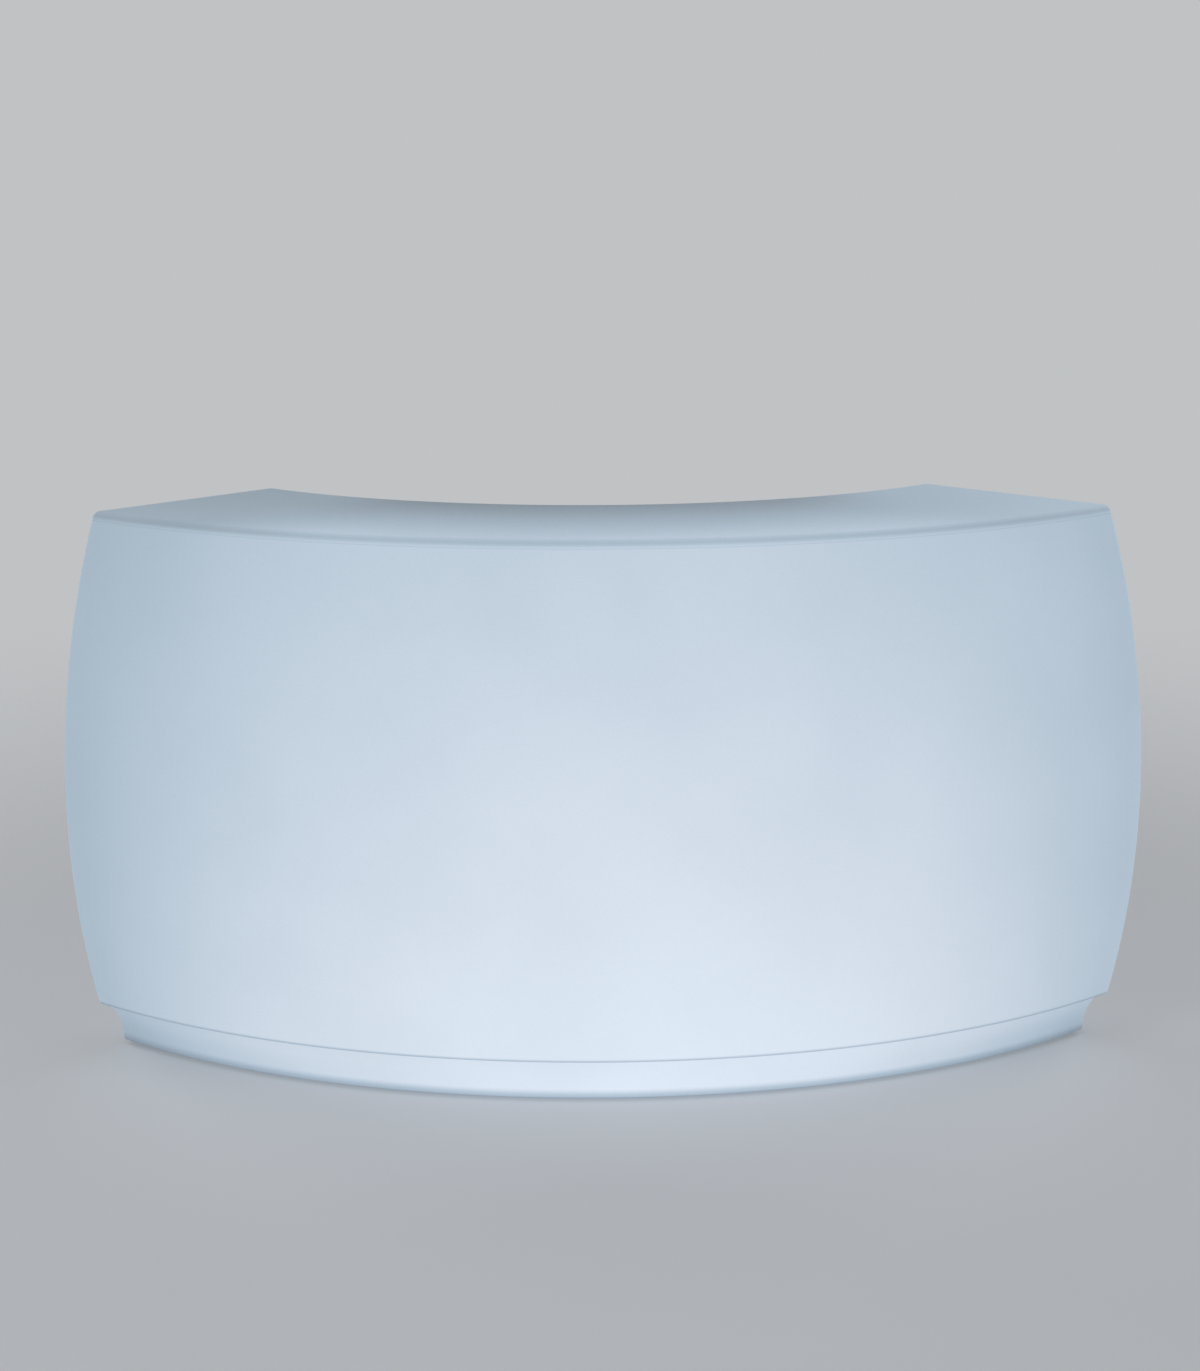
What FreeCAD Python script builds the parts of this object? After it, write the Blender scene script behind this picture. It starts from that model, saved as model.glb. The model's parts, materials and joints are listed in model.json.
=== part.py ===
"""Curved illuminated bar counter.

A quarter of a ring in plan, with a front that bows outwards, a coved plinth, a flat top and a
niche with two shelves on the bartender's side. The translucent moulded body is hollow and is lit
from inside by three lamps. Millimetres, +Z up, guests' side towards -Y, origin on the floor under
the middle of the counter's bounding box. Pieces are modelled about the ring's axis and moved at the end.
"""

import FreeCAD, Part
import math
import os

from FreeCAD import Vector

# Form of the counter
counter_height = 1100.0
floor_gap = 7.0
half_angle = 45.0
rear_radius = 962.0
counter_depth = 562.0
bulge_height = 555.0
bulge_arc_radius = 1619.0
lip_height = 97.0
plinth_setback = 125.0
cove_radius = 112.0
wall = 7.0
edge_round = 14.0
lip_round = 4.0
ground_round = 4.0

# Niche on the bartender's side
front_space = 274.0
niche_half_angle = 32.0
top_slab = 85.0
niche_corner_round = 40.0
niche_edge_round = 15.0
mouth_round = 6.0

# Shelves and the rails that carry them
lower_space = 360.0
middle_space = 276.0
shelf_names = ("lower", "upper")
shelf_thickness = 12.0
shelf_gap = 4.0
shelf_setback = 18.0
shelf_corner_round = 12.0
rail_end_gap = 47.75
rail_leg = 30.0
rail_seat = 22.0
rail_thickness = 2.0
rail_screw_inset = 40.0

# Fasteners with their moulded-in inserts
screw_radius = 2.5
screw_head_radius = 4.8
screw_head_height = 2.8
screw_length = 14.0
insert_radius = 4.0
insert_length = 12.0
boss_wall = 4.0
fit_clearance = 0.05

# Service hatch in the niche's curved back wall
hatch_half_width = 215.0
hatch_height = 230.0
hatch_sill = 60.0
hatch_overlap = 26.0
hatch_cover_thickness = 5.0
hatch_gasket_thickness = 2.0
hatch_corner_round = 24.0
hatch_washer = 1.0
hatch_washer_spare = 0.5

# Levelling feet
foot_places = (
    ("front_left", "front", -39.0),
    ("front_mid_left", "front", -14.0),
    ("front_mid_right", "front", 14.0),
    ("front_right", "front", 39.0),
    ("rear_left", "rear", -38.0),
    ("rear_right", "rear", 38.0),
)
foot_front_inset = 75.0
foot_rear_inset = 60.0
pad_radius = 25.0
pad_height = 12.0
pad_sole_round = 2.0
pad_socket_depth = 7.0
pad_pocket_gap = 3.0
stud_radius = 5.0
stud_length = 48.0
stud_clearance = 0.08
foot_insert_radius = 8.0
foot_insert_length = 34.0
foot_boss_spare = 10.0

# Lamps
lamp_angles = (-27.0, 0.0, 27.0)
lamp_names = ("left", "centre", "right")
lamp_front_inset = 54.0
lamp_length = 500.0
lamp_height = 140.0
channel_width = 40.0
channel_depth = 24.0
channel_wall = 2.0
board_width = 22.0
board_thickness = 1.6
led_size = 5.0
led_height = 1.2
led_count = 12
diffuser_rise = 14.0
diffuser_wall = 2.0
end_cap_thickness = 4.0
bracket_spacing = 320.0
bracket_width = 36.0
bracket_thickness = 3.0
bracket_foot = 50.0
floor_pad_radius = 16.0
floor_pad_height = 14.0

# Driver and cables
driver_length = 180.0
driver_width = 62.0
driver_height = 36.0
driver_rear_inset = 198.0
driver_round = 4.0
driver_ear_length = 16.0
driver_ear_thickness = 4.0
gland_radius = 7.0
gland_length = 12.0
cable_radius = 3.5
cable_lead = 40.0
cable_pair_offset = 6.0
cable_bend_place = 0.55
cable_bend_inset = 45.0
cable_clip_width = 10.0
cable_clip_wall = 2.0

# Power panel at the back of the plinth
pocket_half_width = 68.0
pocket_height = 62.0
pocket_sill = 19.0
pocket_head = 22.0
pocket_depth = 15.0
pocket_round = 6.0
panel_gap = 2.0
panel_thickness = 2.5
panel_gasket_thickness = 1.5
panel_window_half_width = 54.0
panel_window_height = 42.0
panel_screw_half_span = 60.0
panel_screw_half_rise = 23.0
panel_screw_radius = 1.75
panel_screw_head_radius = 3.2
panel_screw_head_height = 1.6
panel_screw_length = 10.0

# Power inlet with its flap
inlet_offset = -30.0
inlet_bore_radius = 12.0
inlet_bore_depth = 10.0
inlet_core_radius = 10.0
inlet_core_depth = 12.0
inlet_wall = 2.5
inlet_back = 4.0
inlet_flange_radius = 18.0
inlet_flange_thickness = 3.0
inlet_nut_thickness = 5.0
contact_radius = 1.8
contact_circle = 5.0
contact_recess = 2.0
cap_thickness = 3.0
cap_gap = 0.3
cap_radius = 17.0
hinge_pin_radius = 1.2
hinge_knuckle_radius = 2.6
hinge_knuckle_width = 9.0
hinge_ear_width = 3.0
hinge_clearance = 0.06

# Rocker switch
switch_offset = 32.0
switch_width = 22.0
switch_height = 30.0
switch_depth = 26.0
bezel_border = 2.5
bezel_thickness = 2.0
rocker_well_width = 18.4
rocker_well_height = 26.4
rocker_well_depth = 11.0
rocker_side_gap = 0.4
rocker_end_gap = 1.2
rocker_tilt = 6.0
rocker_thickness = 7.0
rocker_dish = 0.6
rocker_axle_depth = 3.0
rocker_axle_stub = 1.4
rocker_axle_radius = 1.5
rocker_axle_clearance = 0.05

# Vent plug in the plinth's underside
plug_rear_inset = 158.0
plug_place_angle = 20.0
plug_radius = 6.0
plug_head_radius = 11.0
plug_head_thickness = 1.4
plug_grip = 2.0

# Worked-out values
UP = Vector(0, 0, 1)
ORIGIN = Vector(0, 0, 0)
front_radius = rear_radius + counter_depth
plinth_radius = front_radius - plinth_setback
BIG = 2.0 * front_radius
sweep_spare = 3.0
cut_spare = 1.0
pick_margin = 1.0
plinth_overlap = 20.0
niche_ceiling = counter_height - top_slab
niche_radius = front_radius - front_space
niche_half_width = rear_radius * math.sin(math.radians(niche_half_angle))
niche_floor = floor_gap + pocket_sill + pocket_height + pocket_head
lower_shelf = niche_floor + lower_space
shelf_heights = (lower_shelf, lower_shelf + shelf_thickness + middle_space)
lamp_radius = plinth_radius - lamp_front_inset
driver_radius = rear_radius + driver_rear_inset
plug_place_radius = rear_radius + plug_rear_inset
end_sin = math.sin(math.radians(half_angle))
corner_radius = rear_radius + edge_round
corner_turn = math.degrees(math.asin(edge_round / corner_radius))
rear_reach = corner_radius * math.cos(math.radians(half_angle - corner_turn)) - edge_round
axis_y = (front_radius + rear_reach) / 2.0
cavity_floor = floor_gap + wall
pocket_back = rear_radius + pocket_depth
pocket_middle = floor_gap + pocket_sill + pocket_height / 2.0

nodes = {}


def polar(radius, angle, z=0.0):
    """A point at a radius from the ring's axis, with angle 0 at the middle of the guests' side."""
    turn = math.radians(angle)
    return Vector(radius * math.sin(turn), -radius * math.cos(turn), z)


def outward(angle):
    """The unit vector that points away from the ring's axis at an angle."""
    return polar(1.0, angle)


def cylinder(radius, length, base, axis):
    return Part.makeCylinder(radius, length, base, axis)


def block(x0, x1, y0, y1, z0, z1):
    """A box between two corners."""
    return Part.makeBox(x1 - x0, y1 - y0, z1 - z0, Vector(x0, y0, z0))


def turned(shape, angle):
    """A copy of a shape turned about the ring's axis."""
    copy = shape.copy()
    copy.rotate(ORIGIN, UP, angle)
    return copy


def fused(shapes):
    """One solid out of several that touch or overlap."""
    return shapes[0].fuse(shapes[1:]).removeSplitter()


def upright_edges(shape):
    """The straight edges of a shape that run along Z."""
    boxes = [(e, e.BoundBox) for e in shape.Edges]
    return [e for e, box in boxes if box.ZLength > 10 * max(box.XLength, box.YLength, 1e-3)]


def edges_along_y(shape):
    """The straight edges of a shape that run along Y."""
    boxes = [(e, e.BoundBox) for e in shape.Edges]
    return [e for e, box in boxes if box.YLength > 10 * max(box.XLength, box.ZLength, 1e-3)]


def revolved(points_to_edges, inset):
    """Turns an upright profile about the ring's axis and trims it at the end planes, moved in by inset."""
    face = Part.Face(Part.Wire(points_to_edges))
    sweep = half_angle + sweep_spare
    face.rotate(ORIGIN, UP, -90.0 - sweep)
    ring = face.revolve(ORIGIN, UP, 2.0 * sweep)
    apex = Vector(0, -inset / end_sin, -cut_spare)
    left = apex + polar(BIG, -half_angle)
    right = apex + polar(BIG, half_angle)
    plan = Part.Face(Part.makePolygon([apex, left, right, apex]))
    return ring.common(plan.extrude(Vector(0, 0, counter_height + 2 * cut_spare)))


# Moulded body


def front_at(z, inset=0.0):
    """Radius of the bowed front at a height."""
    rise = z - bulge_height
    centre = front_radius - bulge_arc_radius
    return centre + math.sqrt((bulge_arc_radius - inset) ** 2 - rise**2)


def cove_at(z, inset=0.0):
    """Radius of the plinth's cove at a height."""
    centre = plinth_radius + cove_radius
    return centre - math.sqrt((cove_radius + inset) ** 2 - (z - floor_gap) ** 2)


def upper_block(inset):
    """The counter above its lip, moved in by inset on every side."""
    low = lip_height + inset
    high = counter_height - inset
    middle = (low + high) / 2.0
    rear = rear_radius + inset
    corners = [Vector(rear, 0, low), Vector(front_at(low, inset), 0, low)]
    corners += [Vector(front_at(high, inset), 0, high), Vector(rear, 0, high)]
    bow = Part.Arc(corners[1], Vector(front_at(middle, inset), 0, middle), corners[2])
    profile = [
        Part.makeLine(corners[0], corners[1]),
        bow.toShape(),
        Part.makeLine(corners[2], corners[3]),
        Part.makeLine(corners[3], corners[0]),
    ]
    solid = revolved(profile, inset)
    rounded = [e for e in solid.Edges if e.BoundBox.ZMax > low + pick_margin]
    solid = solid.makeFillet(edge_round - inset, rounded)
    if inset > 0.0:
        return solid
    lip = [e for e in solid.Edges if e.BoundBox.ZMax < low + 0.01]
    return solid.makeFillet(lip_round, lip)


def plinth_block(inset):
    """The coved plinth, which runs a little way up into the counter above it."""
    low = floor_gap + inset
    tip = lip_height + inset
    high = tip + plinth_overlap
    middle = (low + tip) / 2.0
    rear = rear_radius + inset
    corners = [Vector(rear, 0, low), Vector(cove_at(low, inset), 0, low)]
    tip_radius = cove_at(tip, inset)
    corners += [Vector(tip_radius, 0, tip), Vector(tip_radius, 0, high), Vector(rear, 0, high)]
    cove = Part.Arc(corners[1], Vector(cove_at(middle, inset), 0, middle), corners[2])
    profile = [
        Part.makeLine(corners[0], corners[1]),
        cove.toShape(),
        Part.makeLine(corners[2], corners[3]),
        Part.makeLine(corners[3], corners[4]),
        Part.makeLine(corners[4], corners[0]),
    ]
    solid = revolved(profile, inset)
    tall = [e for e in solid.Edges if e.BoundBox.ZLength > pick_margin]
    rounded = [e for e in tall if e.BoundBox.XLength < cove_radius]
    solid = solid.makeFillet(edge_round - inset, rounded)
    if inset > 0.0:
        return solid
    ground = [e for e in solid.Edges if e.BoundBox.ZMax < low + 0.01]
    return solid.makeFillet(ground_round, ground)


def body_block(inset):
    """The whole outline of the counter, moved in by inset."""
    return fused([upper_block(inset), plinth_block(inset)])


def niche_block(grow):
    """The niche's space, with its walls moved out by grow."""
    side = niche_half_width + grow
    radius = niche_radius + grow
    reach = math.sqrt(radius**2 - side**2)
    mouth = -rear_reach / 2.0
    left = [Vector(-side, mouth, 0), Vector(-side, -reach, 0)]
    right = [Vector(side, -reach, 0), Vector(side, mouth, 0)]
    corners = left + right
    plan = [
        Part.makeLine(corners[0], corners[1]),
        Part.Arc(corners[1], Vector(0, -radius, 0), corners[2]).toShape(),
        Part.makeLine(corners[2], corners[3]),
        Part.makeLine(corners[3], corners[0]),
    ]
    face = Part.Face(Part.Wire(plan))
    low = niche_floor - grow
    face.translate(Vector(0, 0, low))
    space = face.extrude(Vector(0, 0, niche_ceiling + grow - low))
    back_corners = [e for e in upright_edges(space) if e.BoundBox.YMax < mouth - pick_margin]
    space = space.makeFillet(niche_corner_round + grow, back_corners)
    flat = [e for e in space.Edges if e.BoundBox.ZLength < 1e-3]
    level = [e for e in flat if e.BoundBox.YMin < mouth - pick_margin]
    return space.makeFillet(niche_edge_round + grow, level)


def pocket_block(grow):
    """The flat-backed pocket for the power panel, with its walls moved out by grow."""
    half = pocket_half_width + grow
    rise = pocket_height / 2.0 + grow
    low = pocket_middle - rise
    high = pocket_middle + rise
    space = block(-half, half, -pocket_back - grow, -rear_radius / 2.0, low, high)
    return space.makeFillet(pocket_round + grow, edges_along_y(space))


def hatch_angle(width):
    """Angle that a width takes up on the niche's back wall."""
    return math.degrees(width / niche_radius)


hatch_low = niche_floor + hatch_sill
hatch_high = hatch_low + hatch_height
hatch_middle = (hatch_low + hatch_high) / 2.0


def curved_plate(inner, outer, half_width, low, high, corner):
    """A plate bent about the ring's axis, with rounded corners."""
    bottom = [Vector(inner, 0, low), Vector(outer, 0, low)]
    top = [Vector(outer, 0, high), Vector(inner, 0, high)]
    face = Part.Face(Part.makePolygon(bottom + top + bottom[:1]))
    reach = hatch_angle(half_width)
    face.rotate(ORIGIN, UP, -90.0 - reach)
    plate = face.revolve(ORIGIN, UP, 2.0 * reach)
    thickness = outer - inner
    corners = [e for e in plate.Edges if e.BoundBox.ZLength < 1e-3 and e.Length < thickness + 1e-3]
    return plate.makeFillet(corner, corners)


def hatch_screw_places():
    """Angle and height of each hatch screw, round the edge of the cover."""
    across = hatch_half_width + hatch_overlap / 2.0
    up = hatch_height / 2.0 + hatch_overlap / 2.0
    places = [(x, z) for z in (-up, up) for x in (-across + hatch_overlap, 0.0, across - hatch_overlap)]
    places += [(x, 0.0) for x in (-across, across)]
    return [(hatch_angle(x), hatch_middle + z) for x, z in places]


niche_side_back = math.sqrt(niche_radius**2 - niche_half_width**2)
niche_side_mouth = math.sqrt(rear_radius**2 - niche_half_width**2)
rail_middle_y = -(niche_side_back + niche_side_mouth) / 2.0
rail_length = niche_side_back - niche_side_mouth - 2 * rail_end_gap
rail_screw_spacing = rail_length - 2 * rail_screw_inset


def rail_screw_places():
    """Side, Y and Z of each screw that holds a shelf rail."""
    places = []
    for height in shelf_heights:
        for side in (-1, 1):
            for y in (-rail_screw_spacing / 2.0, rail_screw_spacing / 2.0):
                places.append((side, rail_middle_y + y, height - rail_leg / 2.0 - rail_thickness / 2.0))
    return places


def foot_point(row, angle, z=0.0):
    """Middle of a foot in the front or the rear row."""
    radius = plinth_radius - foot_front_inset if row == "front" else rear_radius + foot_rear_inset
    return polar(radius, angle, z)


def lamp_point(angle, along, z=0.0, across=0.0):
    """A point of a lamp, along its length and across it, away from the ring's axis."""
    local = Vector(along, -lamp_radius - across, z)
    turn = FreeCAD.Rotation(UP, angle)
    return turn.multVec(local)


def bracket_places():
    """Lamp angle and offset along the lamp of each bracket."""
    half = bracket_spacing / 2.0
    return [(angle, along) for angle in lamp_angles for along in (-half, half)]


floor_pad_top = cavity_floor + floor_pad_height
driver_ear_reach = driver_length / 2.0 + driver_ear_length / 2.0


def driver_screw_points(z):
    """Middle of each driver fixing."""
    return [Vector(side * driver_ear_reach, -driver_radius, z) for side in (-1, 1)]


def floor_fixings(z):
    """Middle of every boss on the cavity's floor that takes a screw."""
    brackets = [lamp_point(angle, along, z) for angle, along in bracket_places()]
    return brackets + driver_screw_points(z)


def bosses():
    """What the cavity leaves solid round inserts and feet."""
    made = []
    boss_radius = insert_radius + boss_wall
    boss_length = insert_length + boss_wall
    for angle, z in hatch_screw_places():
        made.append(cylinder(boss_radius, boss_length, polar(niche_radius, angle, z), outward(angle)))
    for side, y, z in rail_screw_places():
        start = Vector(side * niche_half_width, y, z)
        made.append(cylinder(boss_radius, boss_length, start, Vector(side, 0, 0)))
    for point in floor_fixings(floor_gap):
        made.append(cylinder(floor_pad_radius, floor_pad_top - floor_gap, point, UP))
    for name, row, angle in foot_places:
        point = foot_point(row, angle, floor_gap)
        made.append(cylinder(pad_radius + pad_pocket_gap + wall, pad_height - floor_gap + wall, point, UP))
        tall = pad_height - floor_gap + foot_insert_length + foot_boss_spare + wall
        made.append(cylinder(foot_insert_radius + wall, tall, point, UP))
    return made


def body_shell():
    """The hollow moulded body."""
    solid = body_block(0.0).cut(niche_block(0.0))
    mouth = [e for e in solid.Edges if on_mouth(e)]
    solid = solid.makeFillet(mouth_round, mouth)
    hollow = body_block(wall).cut([niche_block(wall), pocket_block(wall)] + bosses())
    holes = [pocket_block(0.0), hatch_opening(), panel_window()]
    plug_place = polar(plug_place_radius, plug_place_angle, 0)
    holes += [cylinder(plug_radius + fit_clearance, 2 * wall, plug_place, UP)]
    bore = insert_radius + fit_clearance
    for angle, z in hatch_screw_places():
        start = polar(niche_radius, angle, z)
        holes.append(cylinder(bore, insert_length + fit_clearance, start, outward(angle)))
    for side, y, z in rail_screw_places():
        start = Vector(side * niche_half_width, y, z)
        holes.append(cylinder(bore, insert_length + fit_clearance, start, Vector(side, 0, 0)))
    for point in floor_fixings(floor_pad_top - insert_length - fit_clearance):
        holes.append(cylinder(bore, insert_length + 2 * fit_clearance, point, UP))
    for point in panel_screw_points(-pocket_back - panel_screw_length):
        deep = panel_screw_length + cut_spare
        holes.append(cylinder(panel_screw_radius + fit_clearance, deep, point, Vector(0, 1, 0)))
    for name, row, angle in foot_places:
        holes.append(cylinder(pad_radius + pad_pocket_gap, pad_height, foot_point(row, angle), UP))
        deep = foot_insert_length + foot_boss_spare
        mouth = foot_point(row, angle, pad_height)
        holes.append(cylinder(stud_radius + 2 * stud_clearance, deep, mouth, UP))
        seat = foot_insert_length + fit_clearance
        holes.append(cylinder(foot_insert_radius + fit_clearance, seat, mouth, UP))
    return solid.cut([hollow] + holes)


def on_mouth(edge):
    """Whether an edge is where the niche breaks through the rear face."""
    if edge.Degenerated:
        return False
    points = edge.discretize(5)
    near_rear = all(abs(math.hypot(p.x, p.y) - rear_radius) < 0.01 for p in points)
    inside = all(abs(p.x) < niche_half_width + 0.01 for p in points)
    level = all(niche_floor - 0.01 < p.z < niche_ceiling + 0.01 for p in points)
    return near_rear and inside and level


def hatch_opening():
    """The hole through the niche's back wall behind the hatch cover."""
    inner = niche_radius - wall
    outer = niche_radius + 2 * wall
    return curved_plate(inner, outer, hatch_half_width, hatch_low, hatch_high, hatch_corner_round)


def panel_window():
    """The hole through the pocket's back, behind the power panel."""
    half = panel_window_half_width
    rise = panel_window_height / 2.0
    through = -pocket_back + 2 * panel_gasket_thickness
    low = pocket_middle - rise
    high = pocket_middle + rise
    window = block(-half, half, -pocket_back - 2 * wall, through, low, high)
    return window.makeFillet(pocket_round, edges_along_y(window))


# Fasteners


def pan_screw(point, direction, radius, length, head_radius, head_height):
    """A screw whose head rests at point and whose shank runs along direction."""
    shank = cylinder(radius, length, point, direction)
    head = cylinder(head_radius, head_height, point - direction * head_height, direction)
    outer_rim = [e for e in head.Edges if (e.CenterOfMass - point).Length > head_height - 1e-3 and e.Closed]
    head = head.makeFillet(head_height * 0.6, outer_rim)
    return fused([head, shank])


def machine_screw(point, direction):
    return pan_screw(point, direction, screw_radius, screw_length, screw_head_radius, screw_head_height)


def insert(point, direction):
    """A threaded brass insert with its mouth at point."""
    body = cylinder(insert_radius, insert_length, point, direction)
    return body.cut(cylinder(screw_radius + fit_clearance, insert_length, point, direction))


# Shelves


def shelf(height):
    """A crescent shelf that slides in from the bartender's side."""
    side = niche_half_width - shelf_gap
    front = niche_radius - shelf_gap
    rear = rear_radius + shelf_setback
    front_y = -math.sqrt(front**2 - side**2)
    rear_y = -math.sqrt(rear**2 - side**2)
    front_corners = [Vector(-side, front_y, 0), Vector(side, front_y, 0)]
    rear_corners = [Vector(side, rear_y, 0), Vector(-side, rear_y, 0)]
    corners = front_corners + rear_corners
    plan = [
        Part.Arc(corners[0], Vector(0, -front, 0), corners[1]).toShape(),
        Part.makeLine(corners[1], corners[2]),
        Part.Arc(corners[2], Vector(0, -rear, 0), corners[3]).toShape(),
        Part.makeLine(corners[3], corners[0]),
    ]
    face = Part.Face(Part.Wire(plan))
    face.translate(Vector(0, 0, height))
    plate = face.extrude(Vector(0, 0, shelf_thickness))
    back = [e for e in upright_edges(plate) if e.BoundBox.YMax < (front_y + rear_y) / 2.0]
    plate = plate.makeFillet(niche_corner_round, back)
    mouth = [e for e in upright_edges(plate) if e.BoundBox.YMin > (front_y + rear_y) / 2.0]
    return plate.makeFillet(shelf_corner_round, mouth)


def shelf_rail(side, height):
    """An angle rail on the niche's side wall, with the shelf's weight on its level leg."""
    inner = niche_half_width - rail_seat
    low, high = sorted((side * inner, side * niche_half_width))
    y0 = rail_middle_y - rail_length / 2.0
    y1 = rail_middle_y + rail_length / 2.0
    seat = block(low, high, y0, y1, height - rail_thickness, height)
    low, high = sorted((side * (niche_half_width - rail_thickness), side * niche_half_width))
    leg = block(low, high, y0, y1, height - rail_leg, height)
    rail = fused([seat, leg])
    for screw_side, y, z in rail_screw_places():
        if screw_side == side and height - rail_leg < z < height:
            start = Vector(side * (niche_half_width - 2 * rail_thickness), y, z)
            hole = cylinder(screw_radius + fit_clearance, 3 * rail_thickness, start, Vector(side, 0, 0))
            rail = rail.cut(hole)
    return rail


def make_shelves():
    for name, height in zip(shelf_names, shelf_heights):
        nodes["shelf_" + name] = shelf(height)
        nodes["shelf_rail_" + name + "_left"] = shelf_rail(-1, height)
        nodes["shelf_rail_" + name + "_right"] = shelf_rail(1, height)
    screws = []
    inserts = []
    for side, y, z in rail_screw_places():
        into_wall = Vector(side, 0, 0)
        head_seat = Vector(side * (niche_half_width - rail_thickness), y, z)
        screws.append(machine_screw(head_seat, into_wall))
        inserts.append(insert(Vector(side * niche_half_width, y, z), into_wall))
    nodes["shelf_rail_screws"] = Part.makeCompound(screws)
    nodes["shelf_rail_inserts"] = Part.makeCompound(inserts)


# Service hatch


def make_hatch():
    seat = niche_radius - hatch_gasket_thickness
    face = seat - hatch_cover_thickness
    half = hatch_half_width + hatch_overlap
    low = hatch_low - hatch_overlap
    high = hatch_high + hatch_overlap
    round_outside = hatch_corner_round + hatch_overlap / 2.0
    cover = curved_plate(face, seat, half, low, high, round_outside)
    gasket = curved_plate(seat, niche_radius, half, low, high, round_outside)
    gasket = gasket.cut(hatch_opening())
    screws = []
    inserts = []
    for angle, z in hatch_screw_places():
        way = outward(angle)
        before = polar(face - wall, angle, z)
        hole = cylinder(screw_radius + fit_clearance, 4 * wall, before, way)
        cover = cover.cut(hole)
        gasket = gasket.cut(hole)
        head_seat = polar(face - hatch_washer, angle, z)
        screws.append(machine_screw(head_seat, way))
        collar = cylinder(screw_head_radius, hatch_washer + hatch_washer_spare, head_seat, way)
        bore = cylinder(screw_radius, 4 * wall, before, way)
        screws.append(collar.cut([bore, cover]))
        inserts.append(insert(polar(niche_radius, angle, z), outward(angle)))
    nodes["hatch_cover"] = cover
    nodes["hatch_gasket"] = gasket
    nodes["hatch_screws"] = Part.makeCompound(screws)
    nodes["hatch_inserts"] = Part.makeCompound(inserts)


# Levelling feet


def make_feet():
    inserts = []
    for name, row, angle in foot_places:
        pad = cylinder(pad_radius, pad_height, foot_point(row, angle), UP)
        sole = [e for e in pad.Edges if e.Closed and e.BoundBox.ZMax < pad_height / 2.0]
        pad = pad.makeFillet(pad_sole_round, sole)
        socket_floor = pad_height - pad_socket_depth
        stud_end = foot_point(row, angle, socket_floor)
        socket = cylinder(stud_radius + fit_clearance, pad_socket_depth, stud_end, UP)
        nodes["foot_pad_" + name] = pad.cut(socket)
        nodes["foot_stud_" + name] = cylinder(stud_radius, stud_length, stud_end, UP)
        mouth = foot_point(row, angle, pad_height)
        sleeve = cylinder(foot_insert_radius, foot_insert_length, mouth, UP)
        inserts.append(sleeve.cut(cylinder(stud_radius + stud_clearance, foot_insert_length, mouth, UP)))
    nodes["foot_inserts"] = Part.makeCompound(inserts)


# Lamps


def lamp_block(angle, along0, along1, across0, across1, z0, z1):
    """A box set along a lamp."""
    box = block(along0, along1, -lamp_radius - across1, -lamp_radius - across0, z0, z1)
    return turned(box, angle)


def lamp_channel(angle):
    """The folded aluminium channel that carries one lamp."""
    half = lamp_length / 2.0
    side = channel_width / 2.0
    outside = lamp_block(angle, -half, half, -side, side, lamp_height, lamp_height + channel_depth)
    inner = side - channel_wall
    top = lamp_height + channel_depth
    space = lamp_block(angle, -half, half, -inner, inner, lamp_height + channel_wall, top)
    return outside.cut(space)


def lamp_board(angle):
    """The circuit board on the channel's floor."""
    half = lamp_length / 2.0 - end_cap_thickness
    low = lamp_height + channel_wall
    return lamp_block(angle, -half, half, -board_width / 2.0, board_width / 2.0, low, low + board_thickness)


def lamp_leds(angle):
    """The row of light-emitting chips on a board."""
    low = lamp_height + channel_wall + board_thickness
    pitch = lamp_length / led_count
    half = led_size / 2.0
    chips = []
    for number in range(led_count):
        along = (number + 0.5) * pitch - lamp_length / 2.0
        chips.append(lamp_block(angle, along - half, along + half, -half, half, low, low + led_height))
    return Part.makeCompound(chips)


def lamp_diffuser(angle):
    """The bowed opal cover on top of the channel."""
    half = lamp_length / 2.0
    side = channel_width / 2.0
    low = lamp_height + channel_depth

    def bow(across, rise):
        ends = [Vector(-half, -lamp_radius - across, low), Vector(-half, -lamp_radius + across, low)]
        crown = Vector(-half, -lamp_radius, low + rise)
        outline = Part.Wire([Part.Arc(ends[0], crown, ends[1]).toShape(), Part.makeLine(ends[1], ends[0])])
        return Part.Face(outline).extrude(Vector(lamp_length, 0, 0))

    cover = bow(side, diffuser_rise).cut(bow(side - diffuser_wall, diffuser_rise - diffuser_wall))
    return turned(cover, angle)


def lamp_end_caps(angle):
    """The two plugs that close a channel under its cover."""
    half = lamp_length / 2.0
    inner = channel_width / 2.0 - channel_wall
    low = lamp_height + channel_wall
    high = lamp_height + channel_depth
    caps = []
    for side in (-1, 1):
        near, far = sorted((side * (half - end_cap_thickness), side * half))
        caps.append(lamp_block(angle, near, far, -inner, inner, low, high))
    return caps


def lamp_bracket(angle, along):
    """A folded steel stand between the floor boss and the channel."""
    half = bracket_width / 2.0
    side = channel_width / 2.0
    top = lamp_height
    back = -bracket_foot / 2.0
    low = floor_pad_top
    foot = lamp_block(angle, along - half, along + half, back, -back, low, low + bracket_thickness)
    web = lamp_block(angle, along - half, along + half, back, back + bracket_thickness, low, top)
    seat = lamp_block(angle, along - half, along + half, back, side, top - bracket_thickness, top)
    stand = fused([foot, web, seat])
    under = lamp_point(angle, along, low - cut_spare)
    hole = cylinder(screw_radius + fit_clearance, 3 * bracket_thickness, under, UP)
    return stand.cut(hole)


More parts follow.
